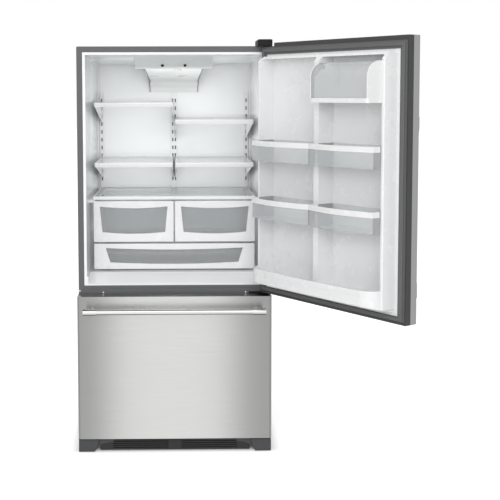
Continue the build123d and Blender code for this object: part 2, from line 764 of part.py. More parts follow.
with BuildPart() as lamp_lens:
    with BuildSketch(side_plane):
        with BuildLine():
            Polyline((housing_back, ceiling(housing_back)), (housing_back, housing_low + 1),
                     (lens_bend - 8, lens_knee), (fridge_depth - 24, lens_low + 22),
                     (fridge_depth - 10, lens_low), (fridge_depth, lens_low),
                     (fridge_depth, ceiling(fridge_depth)), close=True)
        make_face()
    extrude(amount=lens_front_half + 5, both=True)
    with BuildSketch(plan_plane.offset(lens_low - 44)):
        with BuildLine():
            Polyline((-lens_front_half, housing_back), (lens_front_half, housing_back),
                     (lens_back_half, fridge_depth), (-lens_back_half, fridge_depth), close=True)
        make_face()
    extrude(amount=case_height - lens_low, mode=Mode.INTERSECT)
    keels = lamp_lens.edges().filter_by(lambda e: abs(e.center().X) > 80 and e.center().Z < housing_low - 6
                                        and e.length > 60)
    fillet(keels, 9)
    # clear of the rounded corner where the liner's ceiling meets its back wall
    with BuildSketch(side_plane):
        rect(fridge_depth - liner_radius - 2, fridge_depth + 1, ceiling(fridge_depth) - liner_radius - 2,
             ceiling(0) + 20)
    extrude(amount=lens_front_half + 5, both=True, mode=Mode.SUBTRACT)
    add(lens_room.part, mode=Mode.SUBTRACT)
lamp_lens.part.label = "lamp_lens"
export_step(lamp_lens.part, "parts/lamp_lens.step")

# Shelf ladders: steel channels on the back wall with rows of slots.
ladder_front = fridge_depth - ladder_stand
slot_middle = slot_first - slot_pitch * (slot_rows - 1) / 2
with BuildPart() as shelf_ladders:
    for middle, half, columns in ((-column_outer, 10, 1), (0, 17, 2), (column_outer, 10, 1)):
        with BuildSketch(plan_plane.offset(ladder_bottom)):
            rect(middle - half, middle + half, ladder_front, fridge_depth)
            rect(middle - half + ladder_wall, middle + half - ladder_wall, ladder_front + ladder_wall,
                 fridge_depth, mode=Mode.SUBTRACT)
        extrude(amount=ladder_top - ladder_bottom)
        with BuildSketch(face(ladder_front)):
            with Locations((middle, slot_middle)):
                with GridLocations(2 * column_inner, slot_pitch, columns, slot_rows):
                    Rectangle(slot_width, slot_height)
        extrude(amount=-ladder_wall, mode=Mode.SUBTRACT)
shelf_ladders.part.label = "shelf_ladders"
export_step(shelf_ladders.part, "parts/shelf_ladders.step")

# Half shelves: a steel bracket at each side hooks into the ladder and carries glass and front trim.
shelf_steps = {"upper_left": (-1, 0), "upper_right": (1, 2), "lower_left": (-1, 7), "lower_right": (1, 7)}
glass_back = ladder_front - 12
trim_back = shelf_front + shelf_trim_depth
for place, (side, step) in shelf_steps.items():
    top = shelf_top - step * slot_pitch
    under_glass = top - shelf_glass
    inner_edge, outer_edge = column_inner + bracket_wall / 2, column_outer - bracket_wall / 2
    left, right = sorted((side * inner_edge, side * outer_edge))
    hook_row = slot_first - (step + 1) * slot_pitch
    with BuildPart() as shelf_frame:
        for column in (column_inner, column_outer):
            with BuildSketch(side_plane.offset(side * column)):
                with BuildLine():
                    Polyline((shelf_front + 8, top - shelf_trim_height + 3), (shelf_front + 8, top - 2),
                             (ladder_front, top - 2), (ladder_front, top - bracket_drop),
                             (ladder_front - 26, top - bracket_drop),
                             (trim_back + 60, top - shelf_trim_height - 6), close=True)
                make_face()
                for row in (hook_row, hook_row - slot_pitch):
                    sill = row - slot_height / 2
                    rect(ladder_front - 1, ladder_front + ladder_wall + 3, sill, sill + 9)
                    rect(ladder_front + ladder_wall + 0.3, ladder_front + ladder_wall + 3, sill - 5, sill + 9)
            extrude(amount=bracket_wall / 2, both=True)
        # flanges under the glass
        for edge, inward in ((left, 9), (right, -9)):
            with BuildSketch(plan_plane.offset(under_glass - 1.5)):
                rect(min(edge, edge + inward), max(edge, edge + inward), trim_back - 4, ladder_front - 4)
            extrude(amount=1.5)
        # front trim with a rounded nose
        with BuildSketch(side_plane.offset(left)):
            with BuildLine():
                Polyline((trim_back, top), (shelf_front + 5, top))
                ThreePointArc((shelf_front + 5, top), (shelf_front + 0.5, top - 3), (shelf_front, top - 9))
                Polyline((shelf_front, top - 9), (shelf_front + 3, top - shelf_trim_height),
                         (shelf_front + 9, top - shelf_trim_height), (shelf_front + 11, under_glass - 2),
                         (trim_back, under_glass - 2), (trim_back, top))
            make_face()
        extrude(amount=right - left)
        # rear rail that stops the glass
        with BuildSketch(side_plane.offset(left)):
            rect(glass_back, glass_back + 6, under_glass - 1.5, top + 6)
        extrude(amount=right - left)
        # seat of the glass in the trim
        with BuildSketch(plan_plane.offset(under_glass)):
            rect(left + 1, right - 1, trim_back - 8, glass_back)
        extrude(amount=shelf_glass, mode=Mode.SUBTRACT)
    write(shelf_frame.part, f"shelf_{place}_frame")
    with BuildPart() as shelf_pane:
        with BuildSketch(plan_plane.offset(under_glass)):
            rect(left + 1, right - 1, trim_back - 8, glass_back)
        extrude(amount=shelf_glass)
        chamfer(shelf_pane.edges().filter_by(Axis.Z), 2)
    write(shelf_pane.part, f"shelf_{place}_glass")

# Crisper cover: a framed glass plate on the liner's ledges, with the runners for both crispers.
plate_back = fridge_depth - 22
border = 24.0
runner_low = plate_bottom - 23
rim_thick = 3.0
with BuildPart() as crisper_frame:
    with BuildSketch(plan_plane.offset(plate_bottom)):
        rect(-crisper_plate_half, crisper_plate_half, shelf_front - 2, plate_back)
    extrude(amount=crisper_plate_height)
    fillet(crisper_frame.edges().group_by(Axis.Y)[0].filter_by(Axis.X), 5)
    with BuildSketch(plan_plane.offset(plate_bottom)):
        rect(-crisper_plate_half + border, crisper_plate_half - border, trim_back, plate_back - border)
        rect(-12, 12, trim_back, plate_back - border, mode=Mode.SUBTRACT)
    extrude(amount=crisper_plate_height, mode=Mode.SUBTRACT)
    with BuildSketch(plan_plane.offset(crisper_plate_top - shelf_glass)):
        rect(-crisper_plate_half + 8, crisper_plate_half - 8, trim_back - 8, plate_back - 8)
    extrude(amount=shelf_glass, mode=Mode.SUBTRACT)
    # runners: a tee in the middle and an angle under each side
    with BuildSketch(face(drawer_face_depth + drawer_face_wall + 2)):
        rect(-1.5, 1.5, runner_low, plate_bottom)
        rect(-10, 10, runner_low, runner_low + rim_thick)
        for side in (-1, 1):
            outer, inner = side * (crisper_plate_half - 5.5), side * (crisper_plate_half - 8)
            rect(min(outer, inner), max(outer, inner), runner_low, plate_bottom)
            tip = side * (crisper_plate_half - 18)
            rect(min(outer, tip), max(outer, tip), runner_low, runner_low + rim_thick)
    extrude(amount=-(plate_back - drawer_face_depth - drawer_face_wall - 4))
crisper_frame.part.label = "crisper_frame"
export_step(crisper_frame.part, "parts/crisper_frame.step")

with BuildPart() as crisper_glass:
    with BuildSketch(plan_plane.offset(crisper_plate_top - shelf_glass)):
        rect(-crisper_plate_half + 8, crisper_plate_half - 8, trim_back - 8, plate_back - 8)
    extrude(amount=shelf_glass)
crisper_glass.part.label = "crisper_glass"
export_step(crisper_glass.part, "parts/crisper_glass.step")


def window_outline(x0, x1, low, high, lean):
    """Window whose top and bottom edges sag and whose sides lean inwards at the bottom."""
    middle = (x0 + x1) / 2
    with BuildLine() as edge:
        ThreePointArc((x0, high), (middle, high - window_sag), (x1, high))
        Line((x1, high), (x1 - lean, low))
        ThreePointArc((x1 - lean, low), (middle, low - window_sag), (x0 + lean, low))
        Line((x0 + lean, low), (x0, high))
    make_face(edge.edges())


def tub_block(x0, x1, near, far, low, high, lean, near_lean, grow):
    """Tub that widens upwards by the leans, or its hollow when grow is minus the wall."""
    with BuildPart() as tub:
        with BuildSketch(face(near - grow)):
            with BuildLine():
                Polyline((x0 + lean - grow, low - grow), (x1 - lean + grow, low - grow), (x1 + grow, high),
                         (x0 - grow, high), close=True)
            make_face()
        extrude(amount=near - far - 2 * grow)
        with BuildSketch(side_plane):
            with BuildLine():
                Polyline((near + near_lean - grow, low - grow), (far - lean + grow, low - grow),
                         (far + grow, high), (near - grow, high), close=True)
            make_face()
        extrude(amount=fridge_width, both=True, mode=Mode.INTERSECT)
        corners = tub.edges().filter_by(lambda e: abs(e.tangent_at(0.5).Z) > 0.9)
        if not near_lean:
            corners = corners.sort_by(Axis.Y)[2:]
        chamfer(corners, tub_corner + grow / 2)
    return tub.part


tub_front = drawer_face_depth + drawer_face_wall
tub_back = fridge_depth - 50
rim_low = runner_low + rim_thick
for name, side in {"crisper_left": -1, "crisper_right": 1}.items():
    x0, x1 = sorted((side * crisper_gap, side * (crisper_plate_half - 0.5)))
    tub_0, tub_1 = sorted((side * 13.0, side * (crisper_plate_half - 21)))
    rim_0, rim_1 = sorted((side * 3.0, side * (crisper_plate_half - 9)))
    outer_tub, inner_tub = [tub_block(tub_0, tub_1, tub_front, tub_back, crisper_bottom + 4,
                                      rim_low + rim_thick, 8, 0, grow) for grow in (0, -drawer_wall)]
    with BuildPart() as crisper:
        add(outer_tub)
        with BuildSketch(plan_plane.offset(rim_low)):
            rect(rim_0, rim_1, tub_front, tub_back)
        extrude(amount=rim_thick)
        add(inner_tub, mode=Mode.SUBTRACT)
        with BuildSketch(face(drawer_face_depth)) as front_outline:
            rect(x0, x1, crisper_bottom, crisper_top)
            chamfer(front_outline.vertices(), 2.5)
        extrude(amount=-drawer_face_wall)
        chamfer(crisper.edges().group_by(Axis.Y)[0], 1.5)
        with BuildSketch(face(drawer_face_depth)):
            window_outline(x0 + 27, x1 - 27, crisper_bottom + 44, crisper_top - 24, 11)
        extrude(amount=-window_cut, mode=Mode.SUBTRACT)
    write(crisper.part, name)

wide_half = crisper_plate_half - 1.5
wide_tub = crisper_plate_half - 19
outer_tub, inner_tub = [tub_block(-wide_tub, wide_tub, tub_front, tub_back, fridge_floor, wide_top - 4,
                                  7, 0, grow) for grow in (0, -drawer_wall)]
with BuildPart() as wide_drawer:
    add(outer_tub)
    add(inner_tub, mode=Mode.SUBTRACT)
    with BuildSketch(face(drawer_face_depth)) as front_outline:
        rect(-wide_half, wide_half, wide_bottom, wide_top)
        chamfer(front_outline.vertices(), 2.5)
    extrude(amount=-drawer_face_wall)
    chamfer(wide_drawer.edges().group_by(Axis.Y)[0], 1.5)
    with BuildSketch(face(drawer_face_depth)):
        window_outline(-wide_half + 51.5, wide_half - 51.5, wide_bottom + 30, wide_top - 19, 20)
    extrude(amount=-window_cut, mode=Mode.SUBTRACT)
wide_drawer.part.label = "wide_drawer"
export_step(wide_drawer.part, "parts/wide_drawer.step")

# =================================================================================================
# Hinges
# =================================================================================================
plate_thick = 4.0
hinge_plate_low = door_top - recess_drop + 3
lower_plate_high = door_bottom - 3
with BuildPart() as door_hinges:
    # top plate: on the case's roof behind, stepping down into the door's lowered corner in front
    with BuildSketch(plan_plane.offset(case_height)):
        with BuildLine():
            Polyline((pin_x - 34, 75), (pin_x - 34, 0), (pin_x - 12, pin_depth), (pin_x + 12, pin_depth),
                     (pin_x + 12, 75), close=True)
        make_face()
        with Locations((pin_x, pin_depth)):
            Circle(12)
    extrude(amount=plate_thick)
    with BuildSketch(plan_plane.offset(hinge_plate_low - pin_grip)):
        with Locations((pin_x, pin_depth)):
            Circle(pin_radius)
    extrude(amount=case_height + 1 - hinge_plate_low + pin_grip)
    # centre plate: upright on the mullion, its tongue between door and drawer
    with BuildSketch(face(0)):
        rect(pin_x - 78, half_width - 1, lower_plate_high - plate_thick - 12, lower_plate_high)
    extrude(amount=3)
    with BuildSketch(plan_plane.offset(lower_plate_high - plate_thick)):
        with BuildLine():
            Polyline((pin_x - 60, 0), (pin_x - 12, pin_depth), (pin_x + 12, pin_depth), (pin_x + 12, 0),
                     close=True)
        make_face()
        with Locations((pin_x, pin_depth)):
            Circle(12)
    extrude(amount=plate_thick)
    with BuildSketch(plan_plane.offset(lower_plate_high - 1)):
        with Locations((pin_x, pin_depth)):
            Circle(pin_radius)
    extrude(amount=pin_grip + 4)
door_hinges.part.label = "door_hinges"
export_step(door_hinges.part, "parts/door_hinges.step")

cover_top = case_height + 26
with BuildPart() as hinge_cover:
    with BuildSketch(plan_plane.offset(hinge_plate_low - 1)):
        rect(pin_x - 46, half_width + 1, -68, 96)
    extrude(amount=cover_top - hinge_plate_low + 1)
    chamfer(hinge_cover.edges().filter_by(Axis.Z), 5)
    chamfer(hinge_cover.edges().group_by(Axis.Z)[-1], 3)
    with BuildSketch(plan_plane.offset(0)):
        rect(pin_x - 43, half_width - 2, -65, 93)
    extrude(amount=cover_top - 3, mode=Mode.SUBTRACT)
    with BuildSketch(plan_plane.offset(0)):
        rect(0, half_width + 2, 0, 100)
    extrude(amount=case_height, mode=Mode.SUBTRACT)
hinge_cover.part.label = "hinge_cover"
export_step(hinge_cover.part, "parts/hinge_cover.step")

# =================================================================================================
# Fridge door, modelled closed and swung open about the hinge pins as it is written
# =================================================================================================
swing = (Location((pin_x, front + pin_depth, 0), (0, 0, door_open))
         * Location((-pin_x, -(front + pin_depth), 0)))
recess_level = door_top - recess_drop
wrap_back = -door_front + skin_wrap

with BuildPart() as door_skin:
    with BuildSketch(plan_plane.offset(door_bottom)) as wrap:
        rect(-half_door, half_door, -door_front, wrap_back)
        fillet(wrap.vertices().group_by(Axis.Y)[0], skin_radius)
    extrude(amount=door_top - door_bottom)
    with BuildSketch(plan_plane.offset(door_bottom)) as core:
        rect(-half_door + skin, half_door - skin, -door_front + skin, wrap_back)
        fillet(core.vertices().group_by(Axis.Y)[0], skin_radius - skin)
    extrude(amount=door_top - door_bottom, mode=Mode.SUBTRACT)
    with BuildSketch(face(-door_front)):
        rect(recess_x, half_door, recess_level, door_top)
    extrude(amount=-skin_wrap, mode=Mode.SUBTRACT)

cap_front = -door_front + skin
boss_radius = 10.0
pin_bore = pin_radius + pin_clearance
w = frame_wall


def door_outline(inset):
    """Front view of the door with its lowered corner, smaller all round by the inset."""
    side, low, high = half_door - inset, door_bottom + inset, door_top - inset
    corner, drop = recess_x - inset, recess_level - inset
    with BuildLine() as edge:
        Polyline((-side, low), (side, low), (side, drop), (corner, drop), (corner, high), (-side, high),
                 close=True)
    make_face(edge.edges())


def border_hole(mode=Mode.ADD):
    """Opening of the frame's inner border, covered by the liner's flange."""
    rect(-gasket_inner + 5, gasket_inner - 5, liner_flange_bottom + 5, liner_flange_top - 5, mode=mode)


with BuildPart() as door_frame:
    # perimeter band between the stainless wrap and the inner border that carries the gasket
    with BuildSketch(face(wrap_back)):
        door_outline(0)
    extrude(amount=wrap_back + door_gap)
    with BuildSketch(face(wrap_back)):
        door_outline(w)
    extrude(amount=wrap_back + door_gap + frame_lip, mode=Mode.SUBTRACT)
    with BuildSketch(face(wrap_back)):
        border_hole()
    extrude(amount=wrap_back + door_gap, mode=Mode.SUBTRACT)
    # end caps inside the stainless wrap
    reach = half_door - skin
    with BuildSketch(face(cap_front + skin_radius)):
        rect(-reach, reach, door_bottom, door_bottom + w)
        with BuildLine():
            Polyline((-reach, door_top - w), (recess_x - w, door_top - w), (recess_x - w, recess_level - w),
                     (reach, recess_level - w), (reach, recess_level), (recess_x, recess_level),
                     (recess_x, door_top), (-reach, door_top), close=True)
        make_face()
    extrude(amount=cap_front + skin_radius - wrap_back)
    # lowered corner and end caps reach forward between the rounded corners
    with BuildSketch(face(cap_front)):
        rect(-reach + skin_radius, reach - skin_radius, door_bottom, door_bottom + w)
        rect(-reach + skin_radius, recess_x, door_top - w, door_top)
        rect(recess_x - w, reach - skin_radius, recess_level - w, recess_level)
        rect(recess_x - w, recess_x, recess_level, door_top)
    extrude(amount=-skin_radius)
    # bushings for the hinge pins
    for low in (recess_level - pin_grip - 6, door_bottom):
        with BuildSketch(plan_plane.offset(low)):
            with Locations((pin_x - 1, pin_depth)):
                Rectangle(2 * boss_radius, 2 * boss_radius)
        extrude(amount=pin_grip + 6)
    with BuildSketch(plan_plane.offset(recess_level - pin_grip - 1)):
        with Locations((pin_x, pin_depth)):
            Circle(pin_bore)
    extrude(amount=pin_grip + 2, mode=Mode.SUBTRACT)
    with BuildSketch(plan_plane.offset(door_bottom - 1)):
        with Locations((pin_x, pin_depth)):
            Circle(pin_bore)
    extrude(amount=pin_grip + 2, mode=Mode.SUBTRACT)

recess_outer = dyke_outer - dyke_wall
recess_top = dyke_top - dyke_wall + 2
pan_back = recess_floor - liner_wall


def recess_pair(grow, low, high):
    """Outline of the two storage recesses, one on each side of the upright rib."""
    rect(-recess_outer - grow, recess_outer + grow, low - grow, high + grow)
    rect(-rib_half + grow, rib_half - grow, low - grow - 1, high + grow + 1, mode=Mode.SUBTRACT)


def guard_outline(shrink):
    """Plan of the gallon guard: a bow that bulges into the fridge."""
    reach, depth, corner = dyke_outer - 6 - shrink, guard_depth - shrink, guard_corner - shrink
    with BuildLine() as edge:
        Line((-reach, -door_gap), (-reach, depth - corner - 12))
        ThreePointArc((-reach, depth - corner - 12),
                      (-reach + corner * 0.3, depth - 12 - corner * 0.3), (-reach + corner, depth - 12))
        ThreePointArc((-reach + corner, depth - 12), (0, depth), (reach - corner, depth - 12))
        ThreePointArc((reach - corner, depth - 12), (reach - corner * 0.3, depth - 12 - corner * 0.3),
                      (reach, depth - corner - 12))
        Line((reach, depth - corner - 12), (reach, -door_gap))
        Line((reach, -door_gap), (-reach, -door_gap))
    make_face(edge.edges())


with BuildPart() as door_liner:
    # flange and dykes
    with BuildSketch(face(-door_gap)):
        rect(-gasket_inner, gasket_inner, liner_flange_bottom, liner_flange_top)
    extrude(amount=-liner_wall)
    with BuildSketch(face(-door_gap)) as ring:
        rect(-dyke_outer, dyke_outer, dyke_bottom, dyke_top)
        chamfer(ring.vertices(), 11)
    extrude(amount=-(dyke_depth + door_gap), taper=2)
    # the top dyke slopes away below the control housing
    with BuildSketch(side_plane):
        with BuildLine():
            Polyline((dyke_top_depth, dyke_top + 1), (dyke_depth + 1, recess_top - 14),
                     (dyke_depth + 1, dyke_top + 1), close=True)
        make_face()
    extrude(amount=dyke_outer + 1, both=True, mode=Mode.SUBTRACT)
    chamfer(door_liner.faces().sort_by(Axis.Y)[-1].edges(), 3)
    # pans of the storage recess
    with BuildSketch(face(pan_back)):
        recess_pair(liner_wall, guard_floor, recess_top)
    extrude(amount=pan_back + door_gap)
    # gallon guard with a rail along its top, its underside rising to clear the fridge's front lip
    with BuildSketch(plan_plane.offset(dyke_bottom - 7)):
        guard_outline(2)
    extrude(amount=guard_top - dyke_bottom + 7)
    with BuildSketch(plan_plane.offset(guard_top - guard_rail)):
        guard_outline(0)
    extrude(amount=guard_rail)
    with BuildSketch(side_plane):
        with BuildLine():
            Polyline((-door_gap + liner_wall, door_bottom), (-door_gap + liner_wall, dyke_bottom - 4),
                     (guard_depth + 1, guard_floor - 4), (guard_depth + 1, door_bottom), close=True)
        make_face()
    extrude(amount=dyke_outer, both=True, mode=Mode.SUBTRACT)
    # hollows of the recess and of the guard
    with BuildSketch(face(recess_floor)) as hollows:
        recess_pair(0, guard_floor, recess_top)
        chamfer(hollows.vertices(), 5)
    extrude(amount=recess_floor - dyke_depth - 10, mode=Mode.SUBTRACT)
    with BuildSketch(plan_plane.offset(guard_floor)):
        guard_outline(guard_wall)
        rect(-dyke_outer, dyke_outer, -20, dyke_depth, mode=Mode.SUBTRACT)
    extrude(amount=200, mode=Mode.SUBTRACT)
    # gusset-shaped lugs on both walls under every bin
    for rail_top in bin_tops.values():
        seat = rail_top - bin_height
        with BuildSketch(face(recess_floor)):
            for wall_x, reach_x in ((rib_half, lug), (recess_outer, -lug), (-rib_half, -lug),
                                    (-recess_outer, lug)):
                with BuildLine():
                    Polyline((wall_x, seat), (wall_x + reach_x, seat), (wall_x + reach_x, seat - 3),
                             (wall_x, seat - 2 * lug), close=True)
                make_face()
        extrude(amount=recess_floor - dyke_depth + 12)

with BuildPart() as door_foam:
    for depth, thick, inside in ((cap_front + skin_radius, wrap_back - cap_front - skin_radius, reach),
                                 (wrap_back, -door_gap - frame_lip - wrap_back, half_door - w)):
        with BuildSketch(face(depth)):
            with BuildLine():
                Polyline((-inside, door_bottom + w), (inside, door_bottom + w), (inside, recess_level - w),
                         (recess_x - w, recess_level - w), (recess_x - w, door_top - w),
                         (-inside, door_top - w), close=True)
            make_face()
        extrude(amount=-thick)
    with BuildSketch(face(cap_front)):
        rect(-reach + skin_radius, reach - skin_radius, door_bottom + w, recess_level - w)
    extrude(amount=-skin_radius)
    with BuildSketch(face(-door_gap - frame_lip)):
        border_hole()
    extrude(amount=-frame_lip)
    with BuildSketch(face(pan_back)):
        recess_pair(liner_wall, guard_floor, recess_top)
    extrude(amount=pan_back + door_gap, mode=Mode.SUBTRACT)
    for low, tall in ((door_bottom, pin_grip + 6), (recess_level - pin_grip - 6, pin_grip + 6)):
        with BuildSketch(plan_plane.offset(low)):
            rect(pin_x - 1 - boss_radius, half_door, pin_depth - boss_radius, pin_depth + boss_radius)
        extrude(amount=tall, mode=Mode.SUBTRACT)


def gasket_ring(low, high, inner_low, inner_high):
    """Magnetic gasket: a flat base on the door and a soft bulb towards the case."""
    with BuildPart() as ring:
        with BuildSketch(face(-door_gap)):
            rect(-gasket_outer, gasket_outer, low, high)
            rect(-gasket_inner, gasket_inner, inner_low, inner_high, mode=Mode.SUBTRACT)
        extrude(amount=-gasket_base)
        bulb_out = gasket_outer - bulb_inset
        with BuildSketch(face(-door_gap + gasket_base)):
            rect(-bulb_out, bulb_out, low + 2, high - bulb_inset)
            rect(-bulb_out + bulb_width, bulb_out - bulb_width, inner_low - 2, high - bulb_inset - bulb_width,
                 mode=Mode.SUBTRACT)
        extrude(amount=-(door_gap - gasket_base - gasket_free))
        chamfer(ring.edges().group_by(Axis.Y)[-1], 1.5)
    return ring.part


door_gasket = gasket_ring(702, recess_level - 4, liner_flange_bottom, liner_flange_top)


def bar_handle(a, b, axis_x, other):
    """Round bar with a larger sleeve at each end, on two posts."""
    with BuildPart() as handle:
        along = Vector(1, 0, 0) if axis_x else Vector(0, 0, 1)
        depth = front - door_front - handle_stand
        start = Vector(a, depth, other) if axis_x else Vector(other, depth, a)
        for begin, length, radius in ((0, b - a, handle_radius), (0, sleeve_length, sleeve_radius),
                                      (b - a - sleeve_length, sleeve_length, sleeve_radius)):
            with BuildSketch(Plane(origin=start + along * begin, z_dir=along)):
                Circle(radius)
            extrude(amount=length)
        for place in (post_inset, b - a - post_inset):
            with BuildSketch(Plane(origin=start + along * place, z_dir=(0, 1, 0))):
                RegularPolygon(post_radius, 8, rotation=22.5)
            extrude(amount=handle_stand)
    return handle.part


door_handle = bar_handle(fridge_handle_low, fridge_handle_high, False, fridge_handle_x)

# Dairy box on the free side of the door, with a clear lid that flips up at its top.
dairy_right = -recess_outer
dairy_front = dairy_centre_depth + dairy_radius
lid_hinge_height = dairy_centre_height + (dairy_radius ** 2 - (lid_hinge_depth
                                                               - dairy_centre_depth) ** 2) ** 0.5 - 8
lid_pin = 3.0


def dairy_profile(shrink):
    """Side outline of the dairy box: floor, rounded front and top."""
    radius = dairy_radius - shrink
    deg = 52.0
    x_mid, z_mid = radius * cos(radians(deg)), radius * sin(radians(deg))
    base = dairy_floor + dairy_base
    with BuildLine() as edge:
        Line((recess_floor, base), (dairy_front - shrink, base))
        Line((dairy_front - shrink, base), (dairy_front - shrink, dairy_centre_height))
        ThreePointArc((dairy_front - shrink, dairy_centre_height),
                      (dairy_centre_depth + x_mid, dairy_centre_height + z_mid),
                      (dairy_centre_depth, dairy_centre_height + radius))
        Line((dairy_centre_depth, dairy_centre_height + radius),
             (recess_floor, dairy_centre_height + radius))
        Line((recess_floor, dairy_centre_height + radius), (recess_floor, base))
    make_face(edge.edges())


with BuildPart() as dairy_housing:
    with BuildSketch(plan_plane.offset(dairy_floor)) as floor_plan:
        rect(dairy_right, dairy_left, recess_floor, dairy_front)
        chamfer(floor_plan.vertices().group_by(Axis.Y)[-1], 7)
    extrude(amount=dairy_base)
    for x_low in (dairy_right, dairy_left - dairy_cheek):
        with BuildSketch(side_plane.offset(x_low)):
            dairy_profile(0)
        extrude(amount=dairy_cheek)
    # fixed top strip from the recess wall to the lid's hinge line
    with BuildSketch(side_plane.offset(dairy_right)):
        with BuildLine():
            top_z = dairy_centre_height + dairy_radius
            Polyline((recess_floor, top_z), (lid_hinge_depth - 28, top_z - 2),
                     (lid_hinge_depth - 28, top_z - 5), (recess_floor, top_z - 4), close=True)
        make_face()
    extrude(amount=dairy_left - dairy_right)
    # pivots for the lid, one in each cheek
    for x_low, grow in ((dairy_right + dairy_cheek, 6), (dairy_left - dairy_cheek, -6)):
        with BuildSketch(side_plane.offset(x_low)):
            with Locations((lid_hinge_depth, lid_hinge_height)):
                RegularPolygon(lid_pin, 12)
        extrude(amount=grow)

lid_left, lid_right = dairy_right + dairy_cheek + lid_gap, dairy_left - dairy_cheek - lid_gap
with BuildPart() as dairy_lid:
    with BuildSketch(side_plane.offset(lid_left)):
        dairy_profile(1)
    extrude(amount=lid_right - lid_left)
    with BuildSketch(side_plane.offset(lid_left + lid_wall)):
        dairy_profile(1 + lid_wall)
    extrude(amount=lid_right - lid_left - 2 * lid_wall, mode=Mode.SUBTRACT)
    with BuildSketch(side_plane.offset(lid_left)):
        rect(lid_hinge_depth - 14, dairy_front, dairy_floor, dairy_floor + dairy_base + lid_gap)
        rect(recess_floor - 1, dyke_depth + lid_back, dairy_floor, dyke_top)
        # the side walls of the lid are ears round the pivots, cut back below
        with BuildLine():
            Polyline((lid_hinge_depth - 14, dairy_floor - 3), (dairy_front - 16, dairy_floor - 3),
                     (dairy_front - 16, dairy_centre_height + 2),
                     (lid_hinge_depth + 14, lid_hinge_height - 18),
                     (lid_hinge_depth - 14, lid_hinge_height - 18), close=True)
        make_face()
    extrude(amount=lid_right - lid_left, mode=Mode.SUBTRACT)
    with BuildSketch(side_plane.offset(lid_left)):
        with Locations((lid_hinge_depth, lid_hinge_height)):
            RegularPolygon(lid_pin + pin_clearance, 12, major_radius=False)
    extrude(amount=lid_right - lid_left, mode=Mode.SUBTRACT)


def bin_outline(side, grow):
    """Plan of a door bin: a box in the recess whose bowed front is as wide as its rail."""
    inner, outer = rib_half + 1.5, recess_outer - 1.5
    lap = bin_gap
    wall = bin_side
    corner_depth = bin_front + grow
    bow = [(side * (wall + grow - (wall - lap + 2 * grow) * step / bow_steps),
            corner_depth + 4 * bin_bow * step * (bow_steps - step) / bow_steps ** 2)
           for step in range(bow_steps + 1)]
    with BuildLine() as edge:
        Polyline((side * inner, bin_shoulder), (side * inner, recess_floor + 1.5 - grow),
                 (side * outer, recess_floor + 1.5 - grow), (side * outer, bin_shoulder),
                 (side * (wall + grow), bin_shoulder), *bow, (side * (lap - grow), bin_shoulder),
                 close=True)
    make_face(edge.edges())


bins = {}
for row, rail_top in bin_tops.items():
    for place, side in (("right", -1), ("left", 1)):
        with BuildPart() as bin_room:
            with BuildSketch(plan_plane.offset(rail_top - bin_height + bin_wall)) as hollow:
                bin_outline(side, 0)
                fillet(hollow.vertices().group_by(Axis.Y)[-1], bin_corner)
                offset(amount=-bin_wall, mode=Mode.REPLACE)
            extrude(amount=bin_height + 10)
        with BuildPart() as door_bin:
            with BuildSketch(plan_plane.offset(rail_top - bin_height)) as tray:
                bin_outline(side, 0)
                fillet(tray.vertices().group_by(Axis.Y)[-1], bin_corner)
            extrude(amount=bin_height)
            # white rail round the bow
            with BuildSketch(plan_plane.offset(rail_top - rail_height)) as rail:
                bin_outline(side, rail_wall / 2)
                fillet(rail.vertices().group_by(Axis.Y)[-1], bin_corner + rail_wall / 2)
                rect(min(0, side * 400), max(0, side * 400), -60, bin_shoulder, mode=Mode.SUBTRACT)
            extrude(amount=rail_height)
            add(bin_room.part, mode=Mode.SUBTRACT)
        bins[f"door_bin_{row}_{place}"] = door_bin.part

for name, piece in {"door_skin": door_skin.part, "door_frame": door_frame.part,
                    "door_liner": door_liner.part, "door_foam": door_foam.part,
                    "door_gasket": door_gasket, "door_handle": door_handle,
                    "dairy_housing": dairy_housing.part, "dairy_lid": dairy_lid.part, **bins}.items():
    write(piece.moved(swing), name)

# =================================================================================================
# Freezer drawer, slides and baskets
# =================================================================================================
with BuildPart() as freezer_skin:
    with BuildSketch(plan_plane.offset(drawer_bottom)) as wrap:
        rect(-half_door, half_door, -door_front, -door_gap)
        fillet(wrap.vertices().group_by(Axis.Y)[0], skin_radius)
    extrude(amount=drawer_top - drawer_bottom)
    offset(amount=-skin, openings=freezer_skin.faces().sort_by(Axis.Y)[-1])
freezer_skin.part.label = "freezer_skin"
export_step(freezer_skin.part, "parts/freezer_skin.step")

plug_half, plug_depth = freezer_half - 24, 8.0
inner_face = -door_gap - frame_wall
with BuildPart() as freezer_inner:
    with BuildSketch(face(inner_face)):
        rect(-half_door + skin, half_door - skin, drawer_bottom + skin, drawer_top - skin)
    extrude(amount=-frame_wall)
    with BuildSketch(face(-door_gap)) as plug:
        rect(-plug_half, plug_half, freezer_floor + 18, freezer_top - 18)
        chamfer(plug.vertices(), 16)
    extrude(amount=-(plug_depth + door_gap), taper=8)
    with BuildSketch(face(plug_depth)) as dish:
        rect(-plug_half + 30, plug_half - 30, freezer_floor + 48, freezer_top - 48)
        chamfer(dish.vertices(), 12)
    extrude(amount=plug_depth, mode=Mode.SUBTRACT)
freezer_inner.part.label = "freezer_inner"
export_step(freezer_inner.part, "parts/freezer_inner.step")

with BuildPart() as freezer_foam:
    with BuildSketch(face(cap_front + skin_radius)):
        rect(-half_door + skin, half_door - skin, drawer_bottom + skin, drawer_top - skin)
    extrude(amount=cap_front + skin_radius - inner_face)
    with BuildSketch(face(cap_front)):
        rect(-half_door + skin + skin_radius, half_door - skin - skin_radius, drawer_bottom + skin,
             drawer_top - skin)
    extrude(amount=-skin_radius)
freezer_foam.part.label = "freezer_foam"
export_step(freezer_foam.part, "parts/freezer_foam.step")

